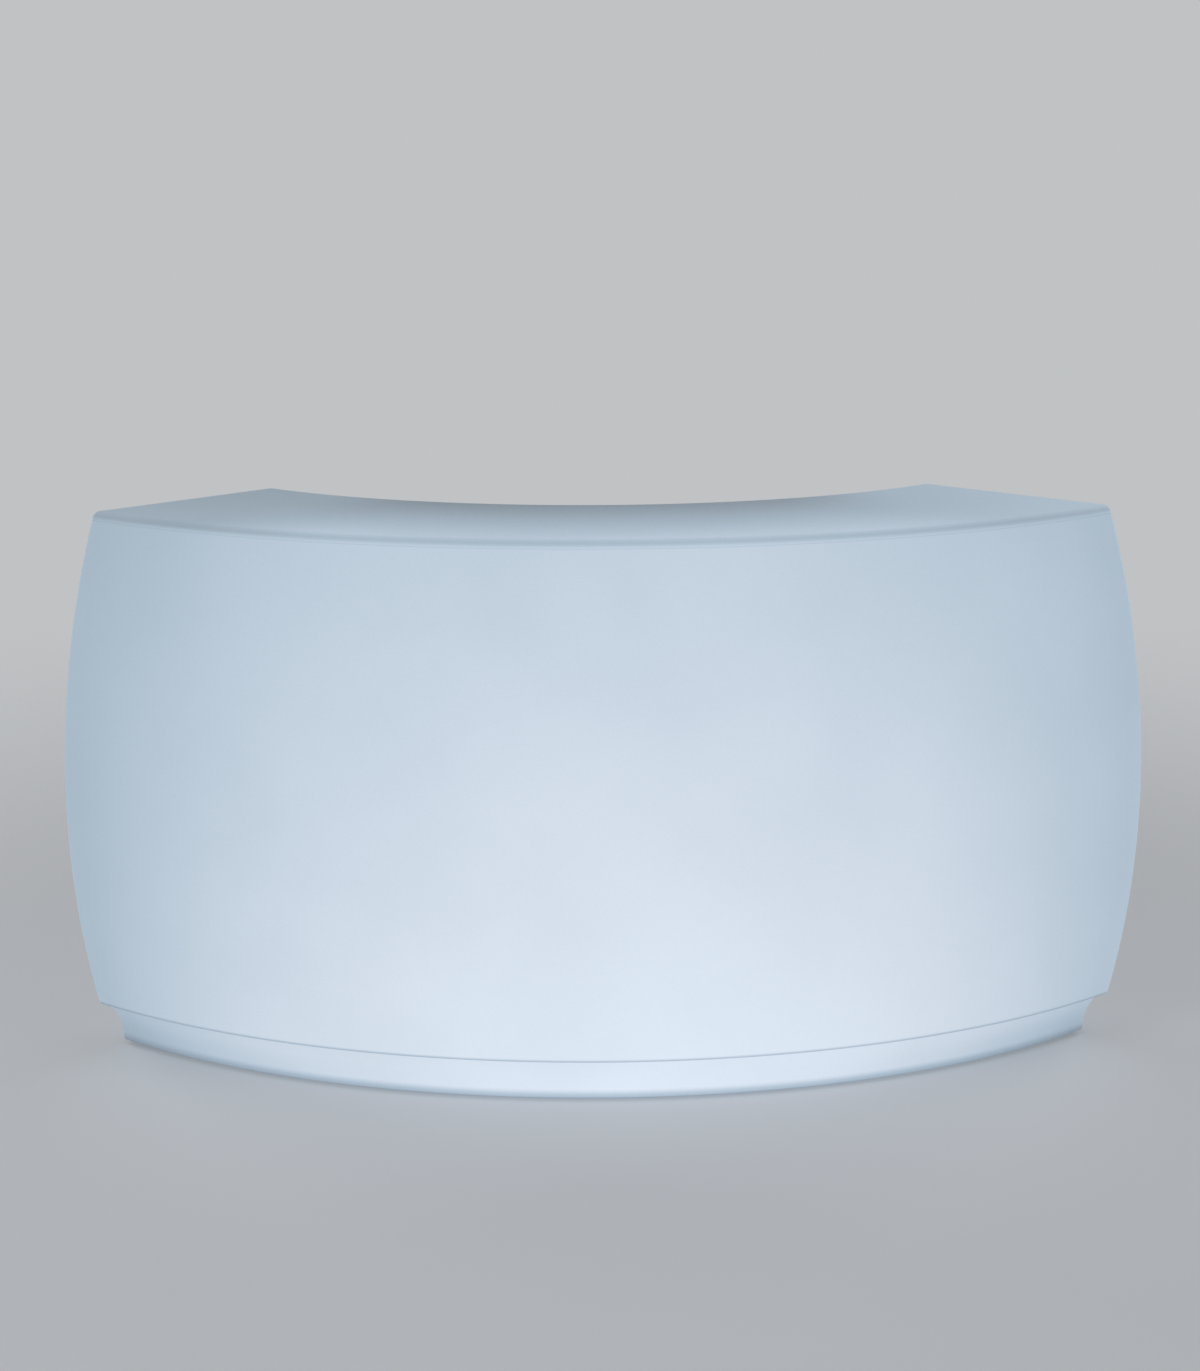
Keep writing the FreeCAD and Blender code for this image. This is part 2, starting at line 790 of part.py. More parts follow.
def make_lamps():
    caps = []
    leds = []
    for name, angle in zip(lamp_names, lamp_angles):
        nodes["lamp_channel_" + name] = lamp_channel(angle)
        nodes["lamp_board_" + name] = lamp_board(angle)
        nodes["lamp_diffuser_" + name] = lamp_diffuser(angle)
        caps += lamp_end_caps(angle)
        leds.append(lamp_leds(angle))
    nodes["lamp_end_caps"] = Part.makeCompound(caps)
    nodes["lamp_leds"] = Part.makeCompound([chip for row in leds for chip in row.Solids])
    nodes["lamp_brackets"] = Part.makeCompound([lamp_bracket(*place) for place in bracket_places()])
    down = Vector(0, 0, -1)
    heads = [lamp_point(a, s, floor_pad_top + bracket_thickness) for a, s in bracket_places()]
    heads += driver_screw_points(floor_pad_top + driver_ear_thickness)
    nodes["floor_screws"] = Part.makeCompound([machine_screw(point, down) for point in heads])
    mouths = floor_fixings(floor_pad_top)
    nodes["floor_inserts"] = Part.makeCompound([insert(point, down) for point in mouths])


# Driver and cables


def make_driver():
    half = driver_length / 2.0
    side = driver_width / 2.0
    low = floor_pad_top
    case = block(-half, half, -driver_radius - side, -driver_radius + side, low, low + driver_height)
    case = case.makeFillet(driver_round, upright_edges(case))
    ears = []
    for end in (-1, 1):
        near, far = sorted((end * half, end * (half + driver_ear_length)))
        reach = driver_ear_length / 2.0 + boss_wall
        high = low + driver_ear_thickness
        ears.append(block(near, far, -driver_radius - reach, -driver_radius + reach, low, high))
    case = fused([case] + ears)
    for point in driver_screw_points(low - cut_spare):
        case = case.cut(cylinder(screw_radius + fit_clearance, 2 * driver_ear_thickness, point, UP))
    nodes["driver_case"] = case
    nodes["driver_glands"] = Part.makeCompound([gland(point, way) for point, way in gland_places()])


def gland_places():
    """Where cables go into the driver: mains at the rear, one lamp cable for each lamp at the front."""
    level = floor_pad_top + driver_height / 2.0
    side = driver_width / 2.0
    places = [(Vector(0, -driver_radius + side, level), Vector(0, 1, 0))]
    for x in (-driver_length / 4.0, 0.0, driver_length / 4.0):
        places.append((Vector(x, -driver_radius - side, level), Vector(0, -1, 0)))
    return places


def gland(point, way):
    """A cable gland on the driver, with the cable's end inside it."""
    body = cylinder(gland_radius, gland_length, point, way)
    return body.cut(cylinder(cable_radius + fit_clearance, gland_length, point, way))


def cable(points):
    """A round cable along straight runs that are joined by arcs as large as the runs allow."""
    edges = []
    start = points[0]
    for before, corner, after in zip(points, points[1:], points[2:]):
        back = before - corner
        ahead = after - corner
        trim = 0.45 * min(back.Length, ahead.Length)
        turn = math.pi - back.getAngle(ahead)
        radius = trim / math.tan(turn / 2.0)
        entry = corner + back.normalize() * trim
        leave = corner + ahead.normalize() * trim
        inside = back + ahead
        middle = corner + inside.normalize() * (radius / math.cos(turn / 2.0) - radius)
        edges.append(Part.LineSegment(start, entry).toShape())
        edges.append(Part.Arc(entry, middle, leave).toShape())
        start = leave
    edges.append(Part.LineSegment(start, points[-1]).toShape())
    spine = Part.Wire(edges)
    section = Part.Wire([Part.makeCircle(cable_radius, points[0], points[1] - points[0])])
    tube = spine.makePipeShell([section], True, False)
    wanted = math.pi * cable_radius**2 * spine.Length
    print("cable length %.0f mm, volume ratio %.4f" % (spine.Length, tube.Volume / wanted))
    return tube


def make_cables():
    mains, left, centre, right = [point for point, way in gland_places()]
    tail = inlet_tail()
    mains_start = tail - Vector(cable_pair_offset, 0, 0)
    leave = mains_start - Vector(0, cable_lead, 0)
    arrive = mains + Vector(0, cable_lead, 0)
    nodes["mains_cable"] = cable([mains_start, leave, arrive, mains])
    link_start = tail + Vector(cable_pair_offset, 0, 0)
    link_end = Vector(switch_offset, panel_front - switch_depth, pocket_middle)
    low = min(link_start.y, link_end.y) - cable_lead
    link_corners = [Vector(link_start.x, low, pocket_middle), Vector(link_end.x, low, pocket_middle)]
    nodes["switch_link"] = cable([link_start] + link_corners + [link_end])
    clips = []
    for name, start, angle in zip(lamp_names, (left, centre, right), lamp_angles):
        route = lamp_cable_route(start, angle)
        nodes["lamp_cable_" + name] = cable(route)
        if len(route) > 3:
            clips.append(cable_clip(route[2], route[3]))
    nodes["cable_clips"] = Part.makeCompound(clips)


def lamp_cable_route(start, angle):
    """From a driver gland out to the foot of a lamp and up to its channel."""
    end = lamp_point(angle, 0.0, lamp_height)
    foot = lamp_point(angle, 0.0, start.z)
    if abs(foot.x - start.x) < pick_margin:
        return [start, foot, end]
    ahead = start - Vector(0, cable_lead, 0)
    near = lamp_point(angle * cable_bend_place, 0.0, start.z, -cable_bend_inset)
    return [start, ahead, near, foot, end]


def cable_clip(start, end):
    """A post on the cavity's floor that holds a cable in the middle of a straight run."""
    run = end - start
    middle = (start + end) * 0.5
    half = cable_radius + cable_clip_wall
    along = cable_clip_width / 2.0
    post = block(-along, along, -half, half, cavity_floor, middle.z + half)
    post.rotate(ORIGIN, UP, math.degrees(math.atan2(run.y, run.x)))
    post.translate(Vector(middle.x, middle.y, 0))
    way = Vector(run).normalize()
    hole_start = middle - way * 2 * cable_clip_width
    return post.cut(cylinder(cable_radius + fit_clearance, 4 * cable_clip_width, hole_start, way))


# Power panel


def panel_screw_points(y):
    """The four corners of the panel's screws, at one depth."""
    points = []
    for x in (-panel_screw_half_span, panel_screw_half_span):
        for z in (-panel_screw_half_rise, panel_screw_half_rise):
            points.append(Vector(x, y, pocket_middle + z))
    return points


panel_back = -pocket_back + panel_gasket_thickness
panel_front = panel_back + panel_thickness


def make_power_panel():
    half = pocket_half_width - panel_gap
    rise = pocket_height / 2.0 - panel_gap
    low = pocket_middle - rise
    high = pocket_middle + rise
    along_y = Vector(0, 1, 0)
    plate = block(-half, half, panel_back, panel_front, low, high)
    plate = plate.makeFillet(pocket_round - panel_gap, edges_along_y(plate))
    gasket = block(-half, half, -pocket_back, panel_back, low, high)
    gasket = gasket.makeFillet(pocket_round - panel_gap, edges_along_y(gasket)).cut(panel_window())
    screw_holes = [
        cylinder(panel_screw_radius + fit_clearance, panel_screw_length, point, along_y)
        for point in panel_screw_points(-pocket_back - cut_spare)
    ]
    before = panel_back - cut_spare
    after = panel_front + cut_spare
    inlet_hole = cylinder(inlet_barrel_radius + fit_clearance, after - before, inlet_point(before), along_y)
    switch_hole = switch_block(switch_width, switch_height, fit_clearance, before, after)
    nodes["power_panel"] = plate.cut(screw_holes + [inlet_hole, switch_hole])
    nodes["power_panel_gasket"] = gasket.cut(screw_holes)
    heads = panel_screw_points(panel_front)
    size = (panel_screw_radius, panel_screw_length, panel_screw_head_radius, panel_screw_head_height)
    nodes["power_panel_screws"] = Part.makeCompound([pan_screw(point, -along_y, *size) for point in heads])


inlet_barrel_radius = inlet_bore_radius + inlet_wall
inlet_front = panel_front + inlet_flange_thickness
inlet_depth = inlet_bore_depth + inlet_core_depth + inlet_back
cap_back = inlet_front + cap_gap
hinge_y = cap_back + cap_thickness / 2.0
hinge_z = pocket_middle + inlet_flange_radius + hinge_knuckle_radius + cap_gap
hinge_half = hinge_knuckle_width / 2.0
ear_start = hinge_half + cap_gap
ear_end = ear_start + hinge_ear_width


def inlet_point(y):
    """A point on the inlet's axis."""
    return Vector(inlet_offset, y, pocket_middle)


def inlet_tail():
    """The back of the inlet, where the mains cable starts."""
    return inlet_point(inlet_front - inlet_depth)


def contact_points(y):
    """The three contacts of the inlet, at one depth."""
    points = []
    for turn in (90.0, 210.0, 330.0):
        way = math.radians(turn)
        offset = Vector(contact_circle * math.cos(way), 0, contact_circle * math.sin(way))
        points.append(inlet_point(y) + offset)
    return points


def inlet_housing():
    """The inlet's flange, barrel and hinge ears."""
    along_y = Vector(0, 1, 0)
    flange = cylinder(inlet_flange_radius, inlet_flange_thickness, inlet_point(panel_front), along_y)
    barrel = cylinder(inlet_barrel_radius, inlet_depth, inlet_tail(), along_y)
    top = hinge_z + hinge_knuckle_radius
    plate_front = hinge_y - hinge_knuckle_radius - cap_gap
    half = ear_end
    plate_low = pocket_middle + inlet_flange_radius / 2.0
    plate = block(inlet_offset - half, inlet_offset + half, panel_front, plate_front, plate_low, top)
    ears = []
    for side in (-1, 1):
        near, far = sorted((inlet_offset + side * ear_start, inlet_offset + side * ear_end))
        low = pocket_middle + cap_radius + 2 * cap_gap
        ears.append(block(near, far, panel_front, hinge_y + hinge_knuckle_radius, low, top))
    body = fused([flange, barrel, plate] + ears)
    bore_floor = inlet_front - inlet_bore_depth
    bore = cylinder(inlet_bore_radius, inlet_bore_depth + cut_spare, inlet_point(bore_floor), along_y)
    core_floor = bore_floor - inlet_core_depth
    core = cylinder(inlet_core_radius, inlet_core_depth + cut_spare, inlet_point(core_floor), along_y)
    holes = [bore, core]
    for point in contact_points(inlet_tail().y - cut_spare):
        holes.append(cylinder(contact_radius + fit_clearance, inlet_back + 2 * cut_spare, point, along_y))
    pin_start = Vector(inlet_offset - ear_end, hinge_y, hinge_z)
    holes.append(cylinder(hinge_pin_radius + fit_clearance, 2 * ear_end, pin_start, Vector(1, 0, 0)))
    return body.cut(holes)


def inlet_cap():
    """The flap over the inlet, with its knuckle between the hinge ears."""
    disc = cylinder(cap_radius, cap_thickness, inlet_point(cap_back), Vector(0, 1, 0))
    low = pocket_middle + cap_radius / 2.0
    near = inlet_offset - hinge_half
    far = inlet_offset + hinge_half
    tongue = block(near, far, cap_back, cap_back + cap_thickness, low, hinge_z)
    knuckle_start = Vector(inlet_offset - hinge_half, hinge_y, hinge_z)
    knuckle = cylinder(hinge_knuckle_radius, hinge_knuckle_width, knuckle_start, Vector(1, 0, 0))
    bore = cylinder(hinge_pin_radius + hinge_clearance, hinge_knuckle_width, knuckle_start, Vector(1, 0, 0))
    return fused([disc, tongue, knuckle]).cut(bore)


def make_inlet():
    along_y = Vector(0, 1, 0)
    nodes["inlet_housing"] = inlet_housing()
    nodes["inlet_cap"] = inlet_cap()
    pin_start = Vector(inlet_offset - ear_end, hinge_y, hinge_z)
    nodes["inlet_cap_pin"] = cylinder(hinge_pin_radius, 2 * ear_end, pin_start, Vector(1, 0, 0))
    nut_back = inlet_point(panel_back - inlet_nut_thickness)
    nut = cylinder(inlet_flange_radius, inlet_nut_thickness, nut_back, along_y)
    hole = cylinder(inlet_barrel_radius + fit_clearance, inlet_nut_thickness, nut_back, along_y)
    nodes["inlet_nut"] = nut.cut(hole)
    reach = inlet_back + inlet_core_depth - contact_recess
    pins = [cylinder(contact_radius, reach, point, along_y) for point in contact_points(inlet_tail().y)]
    nodes["inlet_contacts"] = Part.makeCompound(pins)


# Rocker switch


bezel_front = panel_front + bezel_thickness
rocker_axis_y = bezel_front - rocker_axle_depth


def switch_block(width, height, grow, y0, y1):
    """A box about the switch's axis."""
    half = width / 2.0 + grow
    rise = height / 2.0 + grow
    low = pocket_middle - rise
    high = pocket_middle + rise
    return block(switch_offset - half, switch_offset + half, y0, y1, low, high)


def make_switch():
    bezel = switch_block(switch_width, switch_height, bezel_border, panel_front, bezel_front)
    bezel = bezel.makeFillet(bezel_border, edges_along_y(bezel))
    case = switch_block(switch_width, switch_height, 0.0, panel_front - switch_depth, panel_front)
    well_floor = bezel_front - rocker_well_depth
    well_mouth = bezel_front + cut_spare
    well = switch_block(rocker_well_width, rocker_well_height, 0.0, well_floor, well_mouth)
    stub = rocker_well_width / 2.0 + rocker_axle_stub
    axle_start = Vector(switch_offset - stub, rocker_axis_y, pocket_middle)
    axle_hole = cylinder(rocker_axle_radius + rocker_axle_clearance, 2 * stub, axle_start, Vector(1, 0, 0))
    nodes["switch_housing"] = fused([bezel, case]).cut([well, axle_hole])
    nodes["switch_rocker"] = rocker(stub)


def rocker(stub):
    """The switch's rocker on its axle, tilted to one end of its travel."""
    half = rocker_well_width / 2.0 - rocker_side_gap
    reach = rocker_well_height / 2.0 - rocker_end_gap
    low = rocker_axis_y - rocker_thickness / 2.0
    crest = rocker_axis_y + rocker_thickness / 2.0 + rocker_dish
    dip = crest - 2 * rocker_dish
    start = switch_offset - half
    outline = [
        Vector(start, low, pocket_middle - reach),
        Vector(start, crest, pocket_middle - reach),
        Vector(start, dip, pocket_middle),
        Vector(start, crest, pocket_middle + reach),
        Vector(start, low, pocket_middle + reach),
    ]
    face = Part.Face(Part.makePolygon(outline + outline[:1]))
    body = face.extrude(Vector(2 * half, 0, 0))
    play = rocker_side_gap / 2.0
    axle_start = Vector(switch_offset - stub + play, rocker_axis_y, pocket_middle)
    axle = cylinder(rocker_axle_radius, 2 * (stub - play), axle_start, Vector(1, 0, 0))
    made = fused([body, axle])
    made.rotate(Vector(switch_offset, rocker_axis_y, pocket_middle), Vector(1, 0, 0), -rocker_tilt)
    return made


# Vent plug


def make_vent_plug():
    place = polar(plug_place_radius, plug_place_angle, floor_gap - plug_head_thickness)
    head = cylinder(plug_head_radius, plug_head_thickness, place, UP)
    shank = cylinder(plug_radius, plug_head_thickness + wall + plug_grip, place, UP)
    nodes["vent_plug"] = fused([head, shank])


nodes["body_shell"] = body_shell()
make_shelves()
make_hatch()
make_feet()
make_lamps()
make_driver()
make_cables()
make_power_panel()
make_inlet()
make_switch()
make_vent_plug()

os.makedirs("parts", exist_ok=True)
for name, shape in nodes.items():
    shape.translate(Vector(0, axis_y, 0))
    solids = len(shape.Solids)
    print("%-28s solids %2d valid %s volume %.0f" % (name, solids, shape.isValid(), shape.Volume))
    shape.exportStep("parts/" + name + ".step")
box = Part.makeCompound(list(nodes.values())).optimalBoundingBox()
spans = (box.XMin, box.XMax, box.YMin, box.YMax, box.ZMin, box.ZMax)
print("%d nodes, box X %.2f %.2f Y %.2f %.2f Z %.2f %.2f" % (len(nodes), *spans))
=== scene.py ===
# %% [markdown]
# # A lit bar counter
#
# The counter is one hollow moulding of translucent white plastic with lamps inside it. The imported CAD
# model comes in as a fixed frame. This lesson then gives each piece its finish, adds the small things
# that CAD leaves plain, and sets a camera and soft light. Lengths are metres, +Z is up, and guests
# stand on the -Y side.

# %% Load the frame
import json
import math

import bmesh
import bpy
from mathutils import Matrix, Quaternion, Vector

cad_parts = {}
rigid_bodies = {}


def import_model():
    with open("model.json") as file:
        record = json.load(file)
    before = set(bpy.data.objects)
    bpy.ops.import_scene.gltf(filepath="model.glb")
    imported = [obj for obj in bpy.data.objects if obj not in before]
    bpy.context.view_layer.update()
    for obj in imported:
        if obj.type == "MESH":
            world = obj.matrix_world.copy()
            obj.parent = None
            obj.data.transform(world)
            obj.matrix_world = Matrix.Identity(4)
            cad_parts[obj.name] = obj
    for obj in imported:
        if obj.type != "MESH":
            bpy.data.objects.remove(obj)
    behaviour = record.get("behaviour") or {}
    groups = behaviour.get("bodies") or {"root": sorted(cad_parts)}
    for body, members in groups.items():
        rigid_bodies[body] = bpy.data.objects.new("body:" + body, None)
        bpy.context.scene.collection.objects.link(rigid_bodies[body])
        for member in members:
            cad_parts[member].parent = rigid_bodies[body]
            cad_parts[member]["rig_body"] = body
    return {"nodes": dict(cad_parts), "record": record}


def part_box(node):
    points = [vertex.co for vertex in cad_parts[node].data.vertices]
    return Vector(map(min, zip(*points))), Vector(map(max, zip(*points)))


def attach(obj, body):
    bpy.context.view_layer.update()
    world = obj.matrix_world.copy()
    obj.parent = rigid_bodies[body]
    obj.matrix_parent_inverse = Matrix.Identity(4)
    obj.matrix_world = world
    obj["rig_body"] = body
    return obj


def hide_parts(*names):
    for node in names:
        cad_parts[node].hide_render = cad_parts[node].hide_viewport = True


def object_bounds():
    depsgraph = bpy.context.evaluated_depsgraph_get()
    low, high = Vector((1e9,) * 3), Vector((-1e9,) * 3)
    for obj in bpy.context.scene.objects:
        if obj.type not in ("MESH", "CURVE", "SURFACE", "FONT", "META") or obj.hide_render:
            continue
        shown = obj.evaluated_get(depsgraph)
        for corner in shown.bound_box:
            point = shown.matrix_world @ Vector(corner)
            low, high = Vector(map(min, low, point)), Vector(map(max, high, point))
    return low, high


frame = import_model()
cad_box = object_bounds()
nodes = frame["nodes"]
slot_of = {part["node"]: part["material_slot"] for part in frame["record"]["subparts"]}

# %% [markdown]
# ## The ring's axis
#
# The counter is a quarter of a ring. Its axis stands behind the bartender, outside the object, and
# most patterns here turn about that axis, so its place is worked out first, from the front's radius
# and half of the counter's depth.

# %% Ring values
FRONT_RADIUS = 1.524
REAR_RADIUS = 0.962
NICHE_RADIUS = 1.250
NICHE_HALF_WIDTH = 0.50978
HALF_DEPTH = 0.41902
AXIS_Y = FRONT_RADIUS - HALF_DEPTH


def on_ring(radius, angle, height):
    """A point at a radius and an angle about the ring's axis, with angle 0 in the middle of the front."""
    return Vector((radius * math.sin(angle), AXIS_Y - radius * math.cos(angle), height))


print("ring axis at y =", round(AXIS_Y, 4))

# %% [markdown]
# ## Camera
#
# The photograph looks at the middle of the front from a little above eye height, with a long lens.
# The place, tilt and focal length were worked out by matching the counter's outline. A roll of a
# fifth of a degree levels the floor as the photograph has it.

# %% Camera at the photograph's view
CAMERA_HEADING = 0.02164
CAMERA_PITCH = 0.19865
CAMERA_ROLL = -0.00364
CAMERA_SIDE = -0.1444
CAMERA_FROM_AXIS = 7.3274
CAMERA_HEIGHT = 2.0126
LENS = 84.53
scene = bpy.context.scene
camera_data = bpy.data.cameras.new("photo_camera")
camera_data.lens = LENS
camera_data.sensor_width = 36.0
camera_data.clip_end = 200.0
camera = bpy.data.objects.new("photo_camera", camera_data)
scene.collection.objects.link(camera)
scene.camera = camera
camera.location = (CAMERA_SIDE, AXIS_Y - CAMERA_FROM_AXIS, CAMERA_HEIGHT)
forward = Vector((
    math.sin(CAMERA_HEADING) * math.cos(CAMERA_PITCH),
    math.cos(CAMERA_HEADING) * math.cos(CAMERA_PITCH),
    -math.sin(CAMERA_PITCH),
))
camera.rotation_mode = "QUATERNION"
camera.rotation_quaternion = forward.to_track_quat("-Z", "Y") @ Quaternion((0, 0, 1), CAMERA_ROLL)
print("camera with a lens of", LENS, "mm")

# %% [markdown]
# ## World
#
# The counter makes its own light, so it needs a calm surrounding. The world lights the object weakly
# and evenly. Where the camera looks at it, or sees it in a gloss or through a clear piece, the same
# world is a plain pale backdrop. The Light Path node tells the two kinds of ray apart.

# %% World
BACKDROP = (0.80, 0.82, 0.84, 1.0)
WORLD_LIGHT = 0.30
WORLD_SEEN = 0.66
scene.view_settings.view_transform = "Standard"


def seen_level(tree, unseen, seen):
    """One level for light on the object, another where the camera, a gloss or a clear piece looks."""
    path = tree.nodes.new("ShaderNodeLightPath")
    looked_at = path.outputs["Is Camera Ray"]
    for ray in ("Is Glossy Ray", "Is Transmission Ray"):
        either = tree.nodes.new("ShaderNodeMath")
        either.operation = "MAXIMUM"
        tree.links.new(looked_at, either.inputs[0])
        tree.links.new(path.outputs[ray], either.inputs[1])
        looked_at = either.outputs[0]
    level = tree.nodes.new("ShaderNodeMapRange")
    level.inputs["To Min"].default_value = unseen
    level.inputs["To Max"].default_value = seen
    tree.links.new(looked_at, level.inputs["Value"])
    return level.outputs["Result"]


world = bpy.data.worlds.new("studio")
scene.world = world
world.use_nodes = True
sky = world.node_tree
sky_shade = sky.nodes["Background"]
sky_shade.inputs["Color"].default_value = BACKDROP
sky.links.new(seen_level(sky, WORLD_LIGHT, WORLD_SEEN), sky_shade.inputs["Strength"])
print("world lights at", WORLD_LIGHT, "and shows at", WORLD_SEEN)

# %% [markdown]
# ## Floor
#
# A wide pale disc carries the counter's shadow and the glow of its plinth. It turns clear with
# distance, so that it runs into the backdrop and no horizon shows.

# %% Floor
FLOOR_RADIUS = 40.0
FLOOR_SIDES = 96
FLOOR_GREY = (0.52, 0.53, 0.55, 1.0)
FLOOR_ROUGHNESS = 0.75
FLOOR_LIFT = 0.16
FADE_START = 1.8
FADE_END = 5.5


def new_material(name):
    """A node material with its Principled shader, ready for links."""
    material = bpy.data.materials.new(name)
    material.use_nodes = True
    tree = material.node_tree
    return material, tree, tree.nodes["Principled BSDF"]


def floor_finish():
    """Pale grey near the counter, clear far from it."""
    material, tree, shader = new_material("pale_floor")
    shader.inputs["Base Color"].default_value = FLOOR_GREY
    shader.inputs["Roughness"].default_value = FLOOR_ROUGHNESS
    shader.inputs["Emission Color"].default_value = BACKDROP
    tree.links.new(seen_level(tree, 0.0, FLOOR_LIFT), shader.inputs["Emission Strength"])
    place = tree.nodes.new("ShaderNodeTexCoord")
    reach = tree.nodes.new("ShaderNodeVectorMath")
    reach.operation = "LENGTH"
    tree.links.new(place.outputs["Object"], reach.inputs[0])
    fade = tree.nodes.new("ShaderNodeMapRange")
    fade.interpolation_type = "SMOOTHSTEP"
    fade.inputs["From Min"].default_value = FADE_START
    fade.inputs["From Max"].default_value = FADE_END
    tree.links.new(reach.outputs["Value"], fade.inputs["Value"])
    clear = tree.nodes.new("ShaderNodeBsdfTransparent")
    mixed = tree.nodes.new("ShaderNodeMixShader")
    tree.links.new(fade.outputs["Result"], mixed.inputs["Fac"])
    tree.links.new(shader.outputs[0], mixed.inputs[1])
    tree.links.new(clear.outputs[0], mixed.inputs[2])
    tree.links.new(mixed.outputs[0], tree.nodes["Material Output"].inputs["Surface"])
    return material


floor_mesh = bpy.data.meshes.new("floor")
disc = bmesh.new()
bmesh.ops.create_circle(disc, cap_ends=True, segments=FLOOR_SIDES, radius=FLOOR_RADIUS)
disc.to_mesh(floor_mesh)
disc.free()
floor_mesh.materials.append(floor_finish())
floor = bpy.data.objects.new("floor", floor_mesh)
scene.collection.objects.link(floor)
print("floor fades between", FADE_START, "and", FADE_END, "metres")

# %% [markdown]
# ## Studio lamps
#
# Four broad discs light the counter from its corners. They model the rounded edges and keep the metal
# and rubber readable. None stands straight behind the counter, because the flat top would mirror it
# to the camera.

# %% Studio lamps
LAMP_SIZE = 3.0
AIM_FRONT = (0.0, -0.2, 0.5)
AIM_REAR = (0.0, 0.1, 0.5)


def soft_lamp(name, place, target, power):
    """A broad area lamp that points at a target."""
    data = bpy.data.lights.new(name, "AREA")
    data.shape = "DISK"
    data.size = LAMP_SIZE
    data.energy = power
    lamp = bpy.data.objects.new(name, data)
    scene.collection.objects.link(lamp)
    lamp.location = place
    lamp.rotation_euler = (Vector(target) - Vector(place)).to_track_quat("-Z", "Y").to_euler()
    return lamp


lamps = [
    soft_lamp("key", (-4.4, -4.4, 2.7), AIM_FRONT, 110),
    soft_lamp("fill", (4.8, -3.6, 2.3), AIM_FRONT, 72),
    soft_lamp("back_left", (-4.8, 4.2, 2.9), AIM_REAR, 75),
    soft_lamp("back_right", (4.8, 4.2, 2.9), AIM_REAR, 65),
]
print("studio with", len(lamps), "lamps")

# %% [markdown]
# ## Small helpers for shader nodes
#
# Every finish below is procedural and reads Object coordinates. Pieces keep their place in their mesh,
# so these are the same metres as the CAD frame and a pattern never slides. The helpers keep the
# formulas short enough to read: each makes one node and returns its output socket.

# %% Arithmetic helpers


def calc(tree, operation, first, second=None, clamp=False):
    """A Math node. Each input is a socket or a plain number."""
    node = tree.nodes.new("ShaderNodeMath")
    node.operation = operation
    node.use_clamp = clamp
    for socket, value in zip(node.inputs, (first, second)):
        if value is None:
            continue
        if isinstance(value, (int, float)):
            socket.default_value = value
        else:
            tree.links.new(value, socket)
    return node.outputs[0]


def plus(tree, first, second):
    """The sum of two values."""
    return calc(tree, "ADD", first, second)


def minus(tree, first, second):
    """The first value less the second."""
    return calc(tree, "SUBTRACT", first, second)


def times(tree, first, second):
    """The product of two values."""
    return calc(tree, "MULTIPLY", first, second)


def gap(tree, value, level):
    """How far a value is from a level, either way."""
    return calc(tree, "ABSOLUTE", minus(tree, value, level))


def ramp(tree, value, start, end, low, high, smooth=True):
    """Takes a value from start..end to low..high, held level outside that span."""
    node = tree.nodes.new("ShaderNodeMapRange")
    node.interpolation_type = "SMOOTHSTEP" if smooth else "LINEAR"
    tree.links.new(value, node.inputs["Value"])
    for name, number in (("From Min", start), ("From Max", end), ("To Min", low), ("To Max", high)):
        node.inputs[name].default_value = number
    return node.outputs["Result"]


def fade_between(tree, factor, first, second):
    """A number that goes from first to second as the factor goes from 0 to 1."""
    node = tree.nodes.new("ShaderNodeMix")
    tree.links.new(factor, node.inputs["Factor"])
    for socket, value in ((node.inputs["A"], first), (node.inputs["B"], second)):
        if isinstance(value, float):
            socket.default_value = value
        else:
            tree.links.new(value, socket)
    return node.outputs["Result"]


print("arithmetic helpers ready")

# %% [markdown]
# The second set works with colours, places and textures. Noise stands for everything that is uneven
# on a real surface: mould texture, brushed grain, cloudy gloss.

# %% Colour and texture helpers


def blend_colours(tree, factor, first, second):
    """Mixes two colours, each a socket or three numbers."""
    node = tree.nodes.new("ShaderNodeMix")
    node.data_type = "RGBA"
    tree.links.new(factor, node.inputs["Factor"])
    for socket, value in ((node.inputs[6], first), (node.inputs[7], second)):
        if isinstance(value, tuple):
            socket.default_value = (*value, 1.0)
        else:
            tree.links.new(value, socket)
    return node.outputs[2]


def scaled_colour(tree, colour, level):
    """A colour socket times a number socket."""
    node = tree.nodes.new("ShaderNodeVectorMath")
    node.operation = "SCALE"
    tree.links.new(colour, node.inputs[0])
    tree.links.new(level, node.inputs["Scale"])
    return node.outputs["Vector"]


def object_place(tree):
    """The X, Y and Z of a point, as three sockets."""
    place = tree.nodes.new("ShaderNodeTexCoord")
    split = tree.nodes.new("ShaderNodeSeparateXYZ")
    tree.links.new(place.outputs["Object"], split.inputs[0])
    return split.outputs[0], split.outputs[1], split.outputs[2]


def noise(tree, scale, detail=3.0, stretch=(1.0, 1.0, 1.0)):
    """Noise in object space, from 0 to 1, stretched along the axes where that is asked."""
    place = tree.nodes.new("ShaderNodeTexCoord")
    mapping = tree.nodes.new("ShaderNodeMapping")
    mapping.inputs["Scale"].default_value = stretch
    tree.links.new(place.outputs["Object"], mapping.inputs["Vector"])
    texture = tree.nodes.new("ShaderNodeTexNoise")
    texture.inputs["Scale"].default_value = scale
    texture.inputs["Detail"].default_value = detail
    tree.links.new(mapping.outputs["Vector"], texture.inputs["Vector"])
    return texture.outputs["Fac"]


def uneven(tree, texture, low, high):
    """A texture's middle range as a value from low to high."""
    return ramp(tree, texture, 0.3, 0.7, low, high)


